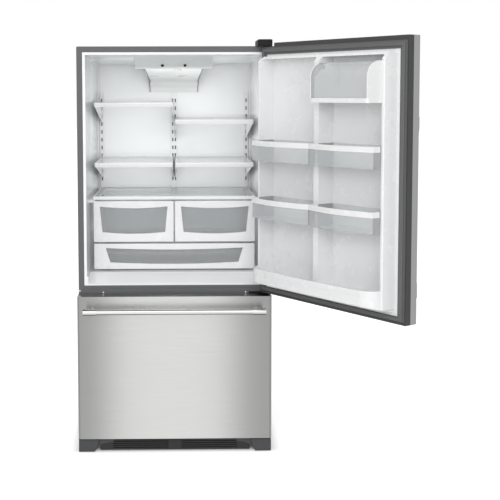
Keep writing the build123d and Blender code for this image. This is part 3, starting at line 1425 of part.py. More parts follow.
freezer_gasket = gasket_ring(drawer_bottom + 14, drawer_top - 10, freezer_floor - 4, freezer_top - 4)
write(freezer_gasket, "freezer_gasket")

freezer_handle = bar_handle(-freezer_handle_half, freezer_handle_half, True, freezer_handle_height)
write(freezer_handle, "freezer_handle")

outer_web = freezer_half
with BuildPart() as slide_outer:
    for side in (-1, 1):
        with BuildSketch(face(slide_start)):
            a, b = sorted((side * (outer_web - slide_reach), side * outer_web))
            rect(a, b, slide_height - slide_half, slide_height + slide_half)
            a, b = sorted((side * (outer_web - slide_reach - 1), side * (outer_web - slide_wall)))
            rect(a, b, slide_height - slide_half + slide_wall, slide_height + slide_half - slide_wall,
                 mode=Mode.SUBTRACT)
        extrude(amount=-slide_length)
slide_outer.part.label = "slide_outer"
export_step(slide_outer.part, "parts/slide_outer.step")

middle_web = outer_web - slide_wall - slide_gap
middle_half = slide_half - slide_wall - slide_gap
with BuildPart() as slide_middle:
    for side in (-1, 1):
        with BuildSketch(face(slide_start)):
            a, b = sorted((side * (outer_web - slide_reach + 1), side * middle_web))
            rect(a, b, slide_height - middle_half, slide_height + middle_half)
            a, b = sorted((side * (outer_web - slide_reach), side * (middle_web - slide_wall)))
            rect(a, b, slide_height - middle_half + slide_wall, slide_height + middle_half - slide_wall,
                 mode=Mode.SUBTRACT)
        extrude(amount=-slide_length)
slide_middle.part.label = "slide_middle"
export_step(slide_middle.part, "parts/slide_middle.step")

inner_web = middle_web - slide_wall - slide_gap
inner_half = middle_half - slide_wall - slide_gap
hanger = outer_web - slide_reach - 14
hanger_low = slide_height - inner_half
with BuildPart() as slide_inner:
    for side in (-1, 1):
        with BuildSketch(face(-door_gap)):
            a, b = sorted((side * (outer_web - slide_reach), side * inner_web))
            rect(a, b, slide_height - inner_half, slide_height + inner_half)
            a, b = sorted((side * (outer_web - slide_reach + 2), side * (inner_web + 1)))
            rect(a, b, slide_height - inner_half + 3, slide_height + inner_half - 3, mode=Mode.SUBTRACT)
        extrude(amount=-(slide_length + door_gap))
        # hanger strip under the basket's rim, behind the inner panel's plug
        with BuildSketch(face(plug_depth + 1)):
            a, b = sorted((side * hanger, side * (outer_web - slide_reach + 1)))
            rect(a, b, hanger_low, hanger_low + 3)
        extrude(amount=-(lower_basket_depth - plug_depth))
slide_inner.part.label = "slide_inner"
export_step(slide_inner.part, "parts/slide_inner.step")


def basket(half, near, far, low, high, rim_height, rim_reach, slots):
    """Tapered open basket with rows of slots, and a side rim that hangs on its runners."""
    lean = (high - low) * tan(radians(basket_draft))
    outer, inner = [tub_block(-half, half, near, far, low, high, lean, lean, grow)
                    for grow in (0, -basket_wall)]
    with BuildPart() as tub:
        add(outer)
        with BuildSketch(plan_plane.offset(rim_height)):
            rect(-rim_reach, rim_reach, near + 16, far - 16)
        extrude(amount=basket_wall)
        add(inner, mode=Mode.SUBTRACT)
        with BuildSketch(face(near - 2)):
            with Locations((0, (low + high) / 2)):
                with GridLocations(2 * (half - 40) / slots, 0, slots, 1):
                    Rectangle((half - 40) / slots, (high - low) * 0.5)
        extrude(amount=-(far - near + 4), mode=Mode.SUBTRACT)
    return tub.part


lower_basket = basket(hanger - 2, plug_depth + 6, lower_basket_depth, lower_basket_bottom,
                      hanger_low + 3 + basket_wall, hanger_low + 3, outer_web - slide_reach - 1, 8)
write(lower_basket, "freezer_basket_lower")
upper_basket = basket(freezer_half - ledge_width - 3, 26, upper_basket_depth, upper_basket_bottom,
                      upper_basket_top, upper_ledge, freezer_half - 2, 8)
write(upper_basket, "freezer_basket_upper")
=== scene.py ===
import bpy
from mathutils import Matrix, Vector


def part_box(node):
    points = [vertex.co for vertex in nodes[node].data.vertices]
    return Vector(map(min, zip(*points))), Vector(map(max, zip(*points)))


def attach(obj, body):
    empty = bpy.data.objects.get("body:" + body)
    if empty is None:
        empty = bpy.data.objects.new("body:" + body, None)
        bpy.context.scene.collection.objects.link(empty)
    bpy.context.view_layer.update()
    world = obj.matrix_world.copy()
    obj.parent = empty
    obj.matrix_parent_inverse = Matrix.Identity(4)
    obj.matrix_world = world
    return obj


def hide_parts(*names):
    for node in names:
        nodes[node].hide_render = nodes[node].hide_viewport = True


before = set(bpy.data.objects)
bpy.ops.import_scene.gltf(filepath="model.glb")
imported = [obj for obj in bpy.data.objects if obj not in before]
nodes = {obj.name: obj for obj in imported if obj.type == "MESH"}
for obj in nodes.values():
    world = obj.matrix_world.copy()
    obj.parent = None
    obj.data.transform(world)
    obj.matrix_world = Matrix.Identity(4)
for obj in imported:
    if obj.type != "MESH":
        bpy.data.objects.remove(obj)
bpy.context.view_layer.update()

from math import cos, pi, radians, sin

import bmesh
import bpy
from mathutils import Matrix, Vector

# Bottom-freezer refrigerator, in metres. The frame is the CAD one: X right, Y back, Z up.
scene = bpy.context.scene

FRONT = -0.357                              # front plane of the case
PIN = Vector((0.398, FRONT - 0.032, 0))     # axis of the door's hinge
OPEN = radians(124.5)                       # the door's angle at rest


def at_door(x, depth, z):
    """A point given in the closed door's frame, where the open door holds it."""
    p = Vector((x, FRONT + depth, z)) - PIN
    turned = Vector((cos(OPEN) * p.x - sin(OPEN) * p.y, sin(OPEN) * p.x + cos(OPEN) * p.y, p.z))
    return turned + PIN


ACROSS = (at_door(1, 0, 0) - at_door(0, 0, 0)).normalized()     # along the open door's width


# ---------------------------------------------------------------- node trees
def feed(tree, socket, value):
    """Link the socket to another node's output, or give it a value of its own."""
    if isinstance(value, bpy.types.NodeSocket):
        tree.links.new(value, socket)
    else:
        socket.default_value = value


def add(tree, kind, **values):
    """New node. A word that starts with in_ names one of its inputs, the others its settings."""
    node = tree.nodes.new(kind)
    for key, value in values.items():
        if not key.startswith("in_"):
            setattr(node, key, value)
    for key, value in values.items():
        if key.startswith("in_"):
            feed(tree, node.inputs[key[3:].replace("_", " ")], value)
    return node


def maths(tree, operation, *values):
    """Math node over numbers or the outputs of other nodes."""
    node = add(tree, "ShaderNodeMath", operation=operation)
    for socket, value in zip(node.inputs, values):
        feed(tree, socket, value)
    return node.outputs[0]


def axes(tree, vector):
    """A vector's three components."""
    return add(tree, "ShaderNodeSeparateXYZ", in_Vector=vector).outputs


def blend(tree, factor, a, b, **settings):
    """Colour mix."""
    node = add(tree, "ShaderNodeMix", data_type="RGBA", in_Factor=factor, in_A=a, in_B=b,
               **settings)
    return node.outputs["Result"]


def ramp(tree, factor, stops):
    """Eased grey ramp through (position, level) stops."""
    node = add(tree, "ShaderNodeValToRGB")
    node.color_ramp.interpolation = "EASE"
    elements = node.color_ramp.elements
    while len(elements) < len(stops):
        elements.new(0.5)
    for element, (position, level) in zip(elements, stops):
        element.position, element.color = position, (level, level, level, 1)
    feed(tree, node.inputs[0], factor)
    return node.outputs[0]


def coordinates(tree, scale=(1, 1, 1), turn=0.0):
    """Object coordinates, turned back about Z and then scaled."""
    own = add(tree, "ShaderNodeTexCoord").outputs["Object"]
    turned = add(tree, "ShaderNodeMapping", in_Vector=own, in_Rotation=(0, 0, turn))
    return add(tree, "ShaderNodeMapping", in_Vector=turned.outputs[0], in_Scale=scale).outputs[0]


def noise(tree, vector, scale, detail=3.0, rough=0.6):
    """Noise texture."""
    return add(tree, "ShaderNodeTexNoise", in_Vector=vector, in_Scale=scale, in_Detail=detail,
               in_Roughness=rough).outputs["Fac"]


def spread(tree, value, low, high, start=0.3, end=0.7):
    """Map start..end, by default the span that noise mostly keeps to, on to low..high."""
    return add(tree, "ShaderNodeMapRange", in_Value=value, in_From_Min=start, in_From_Max=end,
               in_To_Min=low, in_To_Max=high).outputs[0]


# ---------------------------------------------------------------- materials
COAT_ROUGHNESS = 0.06
BRUSHING = 0.25             # a quarter turn, for steel brushed from side to side
LEAST_ROUGHNESS = 0.02
STREAK_SCALE = 0.6          # scale of the brushed streaks in the colour against the relief's
SMUDGE_SCALE = 4            # scale of the changes in gloss against the colour's


def material(name, color, rough, metal=0.0, vary=0.04, vary_scale=2.5, rough_vary=0.04, bump=0.1,
             bump_scale=900.0, bump_depth=0.0002, stretch=(1, 1, 1), turn=0.0, coat=0.0, spec=0.5,
             alpha=1.0, aniso=0.0, crown=0.0, emit=0.0, cells=0.0):
    """Principled material with a mottled colour, uneven gloss and a fine relief."""
    mat = bpy.data.materials.new(name)
    mat.use_nodes = True
    tree = mat.node_tree
    shader = tree.nodes["Principled BSDF"]
    for socket, value in (("Metallic", metal), ("Alpha", alpha), ("Coat Weight", coat),
                          ("Coat Roughness", COAT_ROUGHNESS), ("Specular IOR Level", spec),
                          ("Anisotropic", aniso), ("Anisotropic Rotation", BRUSHING)):
        shader.inputs[socket].default_value = value
    if emit:
        shader.inputs["Emission Color"].default_value = (*color, 1)
        shader.inputs["Emission Strength"].default_value = emit
    broad = coordinates(tree, turn=turn)
    fine = coordinates(tree, stretch, turn)

    # colour: spangled cells, brushed streaks or broad patches
    if cells:
        cell = add(tree, "ShaderNodeTexVoronoi", in_Vector=broad, in_Scale=cells)
        mottle = add(tree, "ShaderNodeRGBToBW", in_Color=cell.outputs["Color"]).outputs[0]
    elif stretch != (1, 1, 1):
        mottle = noise(tree, fine, bump_scale * STREAK_SCALE, rough=0.65)
    else:
        mottle = noise(tree, broad, vary_scale, detail=4.0)
    dark = [c * (1 - vary) for c in color]
    light = [min(1.0, c * (1 + vary)) for c in color]
    mixed = blend(tree, spread(tree, mottle, 0, 1), (*dark, 1), (*light, 1))
    feed(tree, shader.inputs["Base Color"], mixed)

    # gloss
    smudge = noise(tree, broad, vary_scale * SMUDGE_SCALE)
    uneven = spread(tree, smudge, max(LEAST_ROUGHNESS, rough - rough_vary), rough + rough_vary)
    feed(tree, shader.inputs["Roughness"], uneven)

    # relief
    relief = add(tree, "ShaderNodeBump", in_Strength=bump, in_Distance=bump_depth,
                 in_Height=noise(tree, fine, bump_scale))
    if crown:
        # the sheet is very slightly crowned from side to side
        x = axes(tree, broad)[0]
        height = maths(tree, "MULTIPLY", maths(tree, "MULTIPLY", x, x), -crown)
        bow = add(tree, "ShaderNodeBump", in_Strength=1.0, in_Distance=1.0, in_Height=height)
        feed(tree, relief.inputs["Normal"], bow.outputs[0])
    feed(tree, shader.inputs["Normal"], relief.outputs[0])
    return mat


BRUSHED = {"vary": 0.03, "stretch": (0.01, 1, 1), "rough_vary": 0.008, "bump": 0.1,
           "bump_scale": 1500.0, "bump_depth": 0.0001, "aniso": 0.9}
MOULDED = {"vary": 0.02, "rough_vary": 0.02, "bump": 0.02, "bump_scale": 40.0,
           "bump_depth": 0.001}
WHITE = (0.80, 0.805, 0.81)

steel = material("stainless_front", (0.60, 0.60, 0.595), 0.24, 1.0, crown=0.12, **BRUSHED)
steel_door = material("stainless_door", (0.66, 0.66, 0.655), 0.26, 1.0, turn=-OPEN, **BRUSHED)
polished = material("polished_steel", (0.70, 0.70, 0.69), 0.15, 1.0, vary=0.03, rough_vary=0.02,
                    bump=0.04, bump_scale=1200.0, bump_depth=0.00005)
bright = material("bright_screw", (0.82, 0.82, 0.81), 0.2, 1.0, vary=0.05, vary_scale=60.0,
                  bump=0.05)
zinc = material("zinc_steel", (0.52, 0.53, 0.54), 0.32, 0.9, vary=0.08, vary_scale=40.0,
                bump=0.15, bump_scale=400.0)
galvanised = material("galvanised_sheet", (0.46, 0.47, 0.48), 0.4, 0.75, vary=0.05, cells=110.0,
                      bump=0.1, bump_scale=200.0)
aluminium = material("coil_aluminium", (0.66, 0.67, 0.68), 0.35, 0.9, vary=0.05, vary_scale=30.0,
                     bump=0.1)
paint = material("case_paint", (0.105, 0.107, 0.11), 0.36, vary=0.03, bump=0.25, bump_scale=700.0,
                 coat=0.15)
pump = material("compressor_paint", (0.012, 0.012, 0.013), 0.22, vary=0.1, bump=0.3,
                bump_scale=300.0, coat=0.4)
liner = material("liner_plastic", (0.86, 0.865, 0.87), 0.14, vary=0.008, vary_scale=1.2,
                 rough_vary=0.03, bump=0.03, bump_scale=60.0, bump_depth=0.0006, coat=0.25)
trim = material("white_trim", WHITE, 0.22, vary=0.01, bump=0.05, bump_scale=300.0, coat=0.2)
door_white = material("door_white", WHITE, 0.26, vary=0.01, bump=0.03, bump_scale=300.0,
                      coat=0.08)
housing = material("housing_plastic", (0.72, 0.725, 0.73), 0.35, vary=0.02, bump=0.15,
                   bump_scale=1100.0)
lens = material("lens_plastic", (0.86, 0.865, 0.86), 0.3, vary=0.02, bump=0.5, bump_scale=260.0,
                bump_depth=0.0008, alpha=0.9, emit=0.04)
# painted shade: grey for the lens's side walls, which lie in shade
lens_shade = material("lens_side_shade", (0.30, 0.305, 0.31), 0.4, vary=0.05, bump=0.2, bump_scale=700.0)
clear = material("clear_plastic", (0.80, 0.83, 0.84), 0.07, alpha=0.26, spec=0.7, **MOULDED)
lid_clear = material("lid_plastic", (0.72, 0.75, 0.76), 0.06, alpha=0.34, spec=1.0, coat=0.6,
                     **MOULDED)
# painted shade: a darker, more opaque copy of the clear plastic for clear edges, bin floors and
# ends, as they look edge on
clear_shade = material("clear_edge_shade", (0.46, 0.48, 0.49), 0.12, vary=0.03, rough_vary=0.02,
                     bump=0.02, bump_scale=40.0, alpha=0.55, spec=0.7)
smoky = material("window_plastic", (0.42, 0.44, 0.45), 0.07, vary=0.03, rough_vary=0.02,
                 bump=0.03, bump_scale=30.0, bump_depth=0.001, alpha=0.2, spec=0.8)
glass = material("shelf_glass", (0.74, 0.83, 0.80), 0.04, vary=0.02, rough_vary=0.01, bump=0.01,
                 bump_scale=20.0, bump_depth=0.0005, alpha=0.28, spec=0.8)
edge = material("edge_plastic", (0.05, 0.051, 0.053), 0.38, vary=0.03, bump=0.2, coat=0.1)
rubber = material("gasket_rubber", (0.12, 0.121, 0.123), 0.55, vary=0.03, bump=0.3,
                  bump_scale=500.0)
# painted shade: the colour of the dark strips behind the shelf ladders' slots
slot_shade = material("ladder_slot_shade", (0.10, 0.101, 0.103), 0.5, vary=0.06, bump=0.2,
                   bump_scale=500.0)
black = material("black_plastic", (0.010, 0.010, 0.011), 0.42, vary=0.1, bump=0.2, spec=0.25)
base_black = material("base_plastic", (0.022, 0.022, 0.023), 0.48, vary=0.1, bump=0.3)
tyre = material("roller_plastic", (0.05, 0.05, 0.052), 0.5, vary=0.1, bump=0.3, bump_scale=500.0)
foam = material("insulation_foam", (0.72, 0.60, 0.33), 0.85, vary=0.12, vary_scale=30.0, bump=0.8,
                bump_scale=240.0, bump_depth=0.001, spec=0.2)

looks = {}
for look, names in (
        (paint, "case_wrap mullion_bar"),
        (galvanised, "back_panel base_frame"),
        (liner, "fridge_liner freezer_liner"),
        (foam, "case_foam door_foam freezer_foam"),
        (edge, "foot_covers door_frame"),
        (base_black, "base_grille condenser_fan evaporator_fan"),
        # door_hinges take this black as painted shade, for the shadow under the door's corner
        # where they sit
        (black, "fridge_button freezer_button door_hinges hinge_cover"),
        (pump, "compressor"),
        (aluminium, "condenser evaporator"),
        (housing, "control_housing"),
        (lens, "lamp_lens"),
        (trim, "shelf_ladders crisper_frame freezer_inner"),
        (trim, "freezer_basket_lower freezer_basket_upper"),
        (glass, "crisper_glass"),
        (clear, "crisper_left crisper_right wide_drawer"),
        (zinc, "leveling_leg_left leveling_leg_right slide_outer slide_middle slide_inner"),
        (tyre, "rear_roller_left rear_roller_right"),
        (steel_door, "door_skin"),
        (steel, "freezer_skin"),
        (door_white, "door_liner dairy_housing"),
        (lid_clear, "dairy_lid"),
        (rubber, "door_gasket freezer_gasket"),
        (polished, "door_handle freezer_handle")):
    for name in names.split():
        looks[name] = look
for name in nodes:
    if name.startswith("shelf_") and name != "shelf_ladders":
        looks[name] = glass if name.endswith("glass") else trim
    if name.startswith("door_bin"):
        looks[name] = clear
for name, obj in nodes.items():
    obj.data.materials.clear()
    obj.data.materials.append(looks[name])

# a low band of the insulation shows above the back panel, where a dark sealer covers it
SEALED_BACK, SEALED_TOP, SEALED_SIDE = 0.34, 1.72, 0.40
insulation = nodes["case_foam"].data
insulation.materials.append(edge)
for face in insulation.polygons:
    x, y, z = face.center
    if y > SEALED_BACK or z > SEALED_TOP or abs(x) > SEALED_SIDE:
        face.material_index = 1

# ---------------------------------------------------------------- soft edges
WELD = 0.00002              # vertices closer than this become one
SHARP = radians(32)         # edges that turn by more than this are rounded
NORMALS_WEIGHT = 90         # how far large faces keep their own shading

# widths on the pieces that stay as the CAD has them
BEVELS = {"case_wrap": 0.0008, "door_frame": 0.0012, "door_liner": 0.0025, "dairy_housing": 0.001,
          "hinge_cover": 0.0012, "foot_covers": 0.0015, "base_grille": 0.0008,
          "control_housing": 0.001, "crisper_frame": 0.0008, "shelf_ladders": 0.0005,
          "mullion_bar": 0.0006, "freezer_inner": 0.0015, "door_hinges": 0.0006,
          "freezer_basket_lower": 0.001, "freezer_basket_upper": 0.001}
SHELF_BEVEL = 0.0008


def soften(obj, width, segments=2):
    """Round the object's sharp edges."""
    obj.modifiers.new("weld", "WELD").merge_threshold = WELD
    bevel = obj.modifiers.new("bevel", "BEVEL")
    bevel.width, bevel.segments = width, segments
    bevel.limit_method, bevel.angle_limit = "ANGLE", SHARP
    bevel.use_clamp_overlap = True
    obj.modifiers.new("normals", "WEIGHTED_NORMAL").weight = NORMALS_WEIGHT


def darken_edges(obj, width, index):
    """Rounded edges in a darker, more opaque copy of the clear plastic: painted shade for the dark
    look clear moulded edges get from the light through them.
    """
    soften(obj, width, 1)
    obj.modifiers["bevel"].material = index


for name in nodes:
    if name.startswith("shelf_") and name.endswith("frame"):
        BEVELS[name] = SHELF_BEVEL
for name, width in BEVELS.items():
    soften(nodes[name], width)


# ---------------------------------------------------------------- building pieces
CREASE, PLATE_CREASE, SCREW_CREASE = 35, 40, 30     # degrees at which smooth shading breaks
ROUND_STEPS = 3                                     # steps of a plate's rounded edge


def piece(name, mesh, body, mats, replaces=()):
    """Object that rides on a body and may stand in for CAD nodes."""
    obj = bpy.data.objects.new(name, mesh)
    scene.collection.objects.link(obj)
    for mat in mats:
        mesh.materials.append(mat)
    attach(obj, body)
    if replaces:
        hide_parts(*replaces)
    return obj


def finish_mesh(bm, name, angle=CREASE):
    """Mesh with smooth shading, sharp where faces meet at more than the angle in degrees."""
    bmesh.ops.recalc_face_normals(bm, faces=bm.faces)
    for face in bm.faces:
        face.smooth = True
    for side in bm.edges:
        side.smooth = len(side.link_faces) == 2 and side.calc_face_angle(0) < radians(angle)
    mesh = bpy.data.meshes.new(name)
    bm.to_mesh(mesh)
    bm.free()
    return mesh


def copy_of(node):
    """Welded copy of a CAD node's mesh."""
    bm = bmesh.new()
    bm.from_mesh(nodes[node].data)
    bmesh.ops.remove_doubles(bm, verts=bm.verts, dist=WELD)
    return bm


def cut(bm, point, normal, drop=False):
    """Cut the mesh along a plane, and drop what lies on the normal's side if asked to."""
    bmesh.ops.bisect_plane(bm, geom=bm.verts[:] + bm.edges[:] + bm.faces[:], dist=1e-6,
                           plane_co=point, plane_no=normal, clear_outer=drop)


def plate(name, outline, front, thickness, bevel, mat, body, holes=()):
    """Upright plate over an outline in XZ, with rounded edges and holes right through."""
    curve = bpy.data.curves.new(name, "CURVE")
    curve.dimensions, curve.fill_mode = "2D", "BOTH"
    curve.extrude = thickness / 2 - bevel
    curve.bevel_depth, curve.bevel_resolution, curve.offset = bevel, ROUND_STEPS, -bevel
    for points in (outline, *holes):
        spline = curve.splines.new("POLY")
        spline.points.add(len(points) - 1)
        for point, (x, z) in zip(spline.points, points):
            point.co = (x, z, 0, 1)
        spline.use_cyclic_u = True
    maker = bpy.data.objects.new(name + "_outline", curve)
    scene.collection.objects.link(maker)
    bpy.context.view_layer.update()
    mesh = bpy.data.meshes.new_from_object(maker)
    bpy.data.objects.remove(maker)
    bpy.data.curves.remove(curve)
    upright = Matrix.Rotation(pi / 2, 4, "X")
    mesh.transform(Matrix.Translation((0, front + thickness / 2, 0)) @ upright)
    bm = bmesh.new()
    bm.from_mesh(mesh)
    bpy.data.meshes.remove(mesh)
    bmesh.ops.remove_doubles(bm, verts=bm.verts, dist=WELD / 2)
    piece(name, finish_mesh(bm, name, PLATE_CREASE), body, [mat])


def rounded(x0, x1, z0, z1, r, steps=6):
    """Rectangle with rounded corners."""
    points = []
    for cx, cz, start in ((x1 - r, z1 - r, 0), (x0 + r, z1 - r, 90),
                          (x0 + r, z0 + r, 180), (x1 - r, z0 + r, 270)):
        for i in range(steps + 1):
            t = radians(start + 90 * i / steps)
            points.append((cx + r * cos(t), cz + r * sin(t)))
    return points


# ---------------------------------------------------------------- drawers of the fridge
FACE = FRONT + 0.150        # front plane of the drawers' fronts
WALL = 0.014                # thickness of the fronts
FRONT_CORNER, FRONT_BEVEL = 0.004, 0.0018
PANE_DEPTH = 0.006          # how far a window stands behind its front's face
PANE, PANE_BEVEL = 0.0024, 0.0003
PANE_GAP = 0.0002           # between a window and its opening, and between a front and its tub
WINDOW_SAG, WINDOW_STEPS = 0.008, 18
CLEAR_BEVEL = 0.0009        # rounding of clear moulded edges

# left, right, bottom and top of the front; its window's margins at the sides, below and above;
# and how far the window's sides lean in
DRAWERS = {"crisper_left": (-0.3565, -0.003, 0.8825, 1.0635, 0.027, 0.044, 0.024, 0.011),
           "crisper_right": (0.003, 0.3565, 0.8825, 1.0635, 0.027, 0.044, 0.024, 0.011),
           "wide_drawer": (-0.3555, 0.3555, 0.761, 0.874, 0.0515, 0.030, 0.019, 0.020)}


def sagging(start, end, z):
    """Points of an edge that hangs through between its ends."""
    for i in range(WINDOW_STEPS + 1):
        t = i / WINDOW_STEPS
        yield start + (end - start) * t, z - 4 * WINDOW_SAG * t * (1 - t)


def window(x0, x1, low, high, lean, grow=0.0):
    """A drawer window's outline: top and bottom edges sag, sides lean inwards."""
    return [*sagging(x0 - grow, x1 + grow, high + grow),
            *sagging(x1 - lean + grow, x0 + lean - grow, low - grow)]


for node, (x0, x1, low, high, beside, below, above, lean) in DRAWERS.items():
    opening = (x0 + beside, x1 - beside, low + below, high - above, lean)
    plate(node + "_front", rounded(x0, x1, low, high, FRONT_CORNER), FACE, WALL, FRONT_BEVEL,
          door_white, node, [window(*opening)])
    plate(node + "_window", window(*opening, grow=-PANE_GAP), FACE + PANE_DEPTH, PANE, PANE_BEVEL,
          smoky, node)
    bm = copy_of(node)
    cut(bm, (0, FACE + WALL + PANE_GAP, 0), (0, -1, 0), drop=True)
    tub = piece(node + "_tub", finish_mesh(bm, node + "_tub"), node, [clear, clear_shade],
                [node])
    darken_edges(tub, CLEAR_BEVEL, 1)

# ---------------------------------------------------------------- door bins and dairy lid
BIN_TOPS = {"upper": 1.345, "lower": 1.108}
RAIL_HEIGHT = 0.021
# a bin's rim is its rail beyond this point; the rail's back faces lie exactly at its depth, so
# rounding decides them, and these two lines are kept as they are for that reason
RAIL_START = at_door(0, 0.060, 0)
RAIL_WAY = at_door(0, 0.061, 0) - RAIL_START
RAIL_MARGIN = 0.0001        # faces this little below the rail still belong to it
LID_BEVEL = 0.0012
ENDWISE, LEVEL = 0.8, 0.7   # least part of a face's normal along the door and upright


def looks_across(face):
    """Whether a face is an end, seen across the door's width."""
    return abs(face.normal.dot(ACROSS)) > ENDWISE


def bin_look(face, sill):
    """Material index of a bin's face: 0 clear wall, 1 white rail, 2 floor or end in painted shade.

    Floor and ends are seen nearly edge on, and they take a darker, more opaque copy of the clear
    plastic as painted shade.
    """
    middle = face.calc_center_median()
    if middle.z > sill - RAIL_MARGIN and (middle - RAIL_START).dot(RAIL_WAY) > 0:
        return 1
    return 2 if abs(face.normal.z) > LEVEL or looks_across(face) else 0


for row, top in BIN_TOPS.items():
    for hand in ("left", "right"):
        node = f"door_bin_{row}_{hand}"
        sill = top - RAIL_HEIGHT
        bm = copy_of(node)
        cut(bm, (0, 0, sill), (0, 0, 1))
        for face in bm.faces:
            face.material_index = bin_look(face, sill)
        tray = piece(node + "_tray", finish_mesh(bm, node + "_tray"), node,
                     [clear, door_white, clear_shade], [node])
        darken_edges(tray, CLEAR_BEVEL, 2)

# the lid's ends, seen edge on, take the darker copy of the clear plastic as painted shade
bm = copy_of("dairy_lid")
for face in bm.faces:
    face.material_index = int(looks_across(face))
lid = piece("dairy_lid_shell", finish_mesh(bm, "dairy_lid_shell"), "dairy_lid",
            [lid_clear, clear_shade], ["dairy_lid"])
darken_edges(lid, LID_BEVEL, 1)

# ---------------------------------------------------------------- painted shade behind the shelf ladders' slots
# dark strips behind the ladders' slots, a dark sheet where there is only shade, so that the slots
# look dark
LADDER_X, LADDER_HALF, MIDDLE_HALF = 0.3495, 0.0076, 0.0146
BACK_MARGIN, BACK_DEPTH, BACK_THICKNESS = 0.004, 0.0068, 0.0012
BACK_CORNER, BACK_BEVEL = 0.001, 0.0002

ladder_low, ladder_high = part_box("shelf_ladders")
for hand, x, half in (("left", -LADDER_X, LADDER_HALF), ("middle", 0.0, MIDDLE_HALF),
                      ("right", LADDER_X, LADDER_HALF)):
    strip = rounded(x - half, x + half, ladder_low[2] + BACK_MARGIN, ladder_high[2] - BACK_MARGIN,
                    BACK_CORNER, steps=2)
    plate("ladder_shade_strip_" + hand, strip, ladder_low[1] + BACK_DEPTH, BACK_THICKNESS, BACK_BEVEL,
          slot_shade, "case")


# ---------------------------------------------------------------- screws
def frame_of(axis):
    """Rotation that takes Z to the axis."""
    axis = Vector(axis).normalized()
    side = Vector((0, 0, 1)).cross(axis)
    if side.length < 0.1:
        side = Vector((1, 0, 0))
    side.normalize()
    return Matrix((side, axis.cross(side), axis)).transposed().to_4x4()


def ring(bm, place, radius, height, count, corners=0):
    """Ring of vertices about the place's Z axis, round or with so many corners."""
    made = []
    for i in range(count):
        a = 2 * pi * i / count
        flat = cos(pi / corners) / cos(a % (2 * pi / corners) - pi / corners) if corners else 1
        made.append(bm.verts.new(place @ Vector((radius * flat * cos(a), radius * flat * sin(a),
                                                 height))))
    return made


def walls(bm, rings):
    """Faces from each ring to the next."""
    for a, b in zip(rings, rings[1:]):
        for i in range(len(a)):
            j = (i + 1) % len(a)
            bm.faces.new((a[i], a[j], b[j], b[i]))


def hex_head(bm, place, radius=0.0038, height=0.0032):
    """Washer-faced hexagon head with a dimple."""
    count = 18
    washer = ((1.35, 0), (1.35, 0.22), (1.02, 0.3))
    hexagon = ((1, 0.3), (1, 0.9), (0.86, 1), (0.5, 1), (0.4, 0.8))
    rings = [ring(bm, place, radius * r, height * z, count) for r, z in washer]
    rings += [ring(bm, place, radius * r, height * z, count, corners=6) for r, z in hexagon]
    walls(bm, rings)
    bm.faces.new(rings[-1])
    bm.faces.new(rings[0][::-1])


def cross_head(bm, place, radius=0.0045, height=0.0014):
    """Low domed head with a cross recess."""
    count = 24
    dome = ((1.0, 0.0), (0.98, 0.35), (0.9, 0.65), (0.75, 0.88), (0.62, 0.97))
    rings = [ring(bm, place, radius * r, height * z, count) for r, z in dome]
    walls(bm, rings)
    bm.faces.new(rings[0][::-1])
    w, l = 0.13 * radius, 0.5 * radius      # half width and half length of the recess's arms
    taper, depth = 0.8, 0.35                # share of that size and of the height at its bottom
    plus = [(w, l), (-w, l), (-w, w), (-l, w), (-l, -w), (-w, -w), (-w, -l), (w, -l), (w, -w),
            (l, -w), (l, w), (w, w)]
    top = [bm.verts.new(place @ Vector((x, y, height))) for x, y in plus]
    bottom = [bm.verts.new(place @ Vector((x * taper, y * taper, height * depth)))
              for x, y in plus]
    loops = [bm.edges.new((a, b)) for a, b in zip(top, top[1:] + top[:1])]
    rim = rings[-1]
    loops += [bm.edges.get((a, b)) for a, b in zip(rim, rim[1:] + rim[:1])]
    bmesh.ops.triangle_fill(bm, edges=loops, use_beauty=True)
    walls(bm, [top, bottom])
    bm.faces.new(bottom)


def fasteners(name, head, places, axis, mat):
    """Screw heads on the case, as one piece."""
    bm = bmesh.new()
    for place in places:
        head(bm, Matrix.Translation(place) @ frame_of(axis))
    piece(name, finish_mesh(bm, name, SCREW_CREASE), "case", [mat])


# on the strip below the door, and round the back panel: its sides, top edge and lower rows
PANEL_FACE = 0.353
front_screws = [(x, FRONT, z) for x, z in ((-0.4075, 0.692), (-0.307, 0.684), (0.307, 0.684))]
panel_screws = [(x, PANEL_FACE, z) for x in (-0.402, 0.402)
                for z in (0.27, 0.5, 0.76, 1.02, 1.28, 1.54, 1.72)]
panel_screws += [(x, PANEL_FACE, 1.722) for x in (-0.27, -0.09, 0.09, 0.27)]
panel_screws += [(x, PANEL_FACE, z) for x in (-0.4, -0.13, 0.13, 0.36) for z in (0.062, 0.222)]
fasteners("front_screws", cross_head, front_screws, (0, -1, 0), bright)
fasteners("panel_screws", hex_head, panel_screws, (0, 1, 0), zinc)

# ---------------------------------------------------------------- flanges, rims and caps
# flanges carry the foot covers on to the grille; x is counted from the grille's end
FLANGE, FLANGE_BEVEL = 0.003, 0.0006
FLANGE_OUT = 0.0032         # its face stands this far in front of the grille
grille_low, grille_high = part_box("base_grille")
grille_end, grille_top = grille_high[0], grille_high[2]
flange = ((0.016, grille_top), (0.016, 0.013), (0.006, 0.030), (-0.028, grille_top - 0.016),
          (-0.058, grille_top - 0.013), (-0.058, grille_top))
for hand, s in (("left", -1), ("right", 1)):
    plate("foot_flange_" + hand, [(s * (grille_end + x), z) for x, z in flange],
          grille_low[1] - FLANGE_OUT, FLANGE, FLANGE_BEVEL, edge, "case")

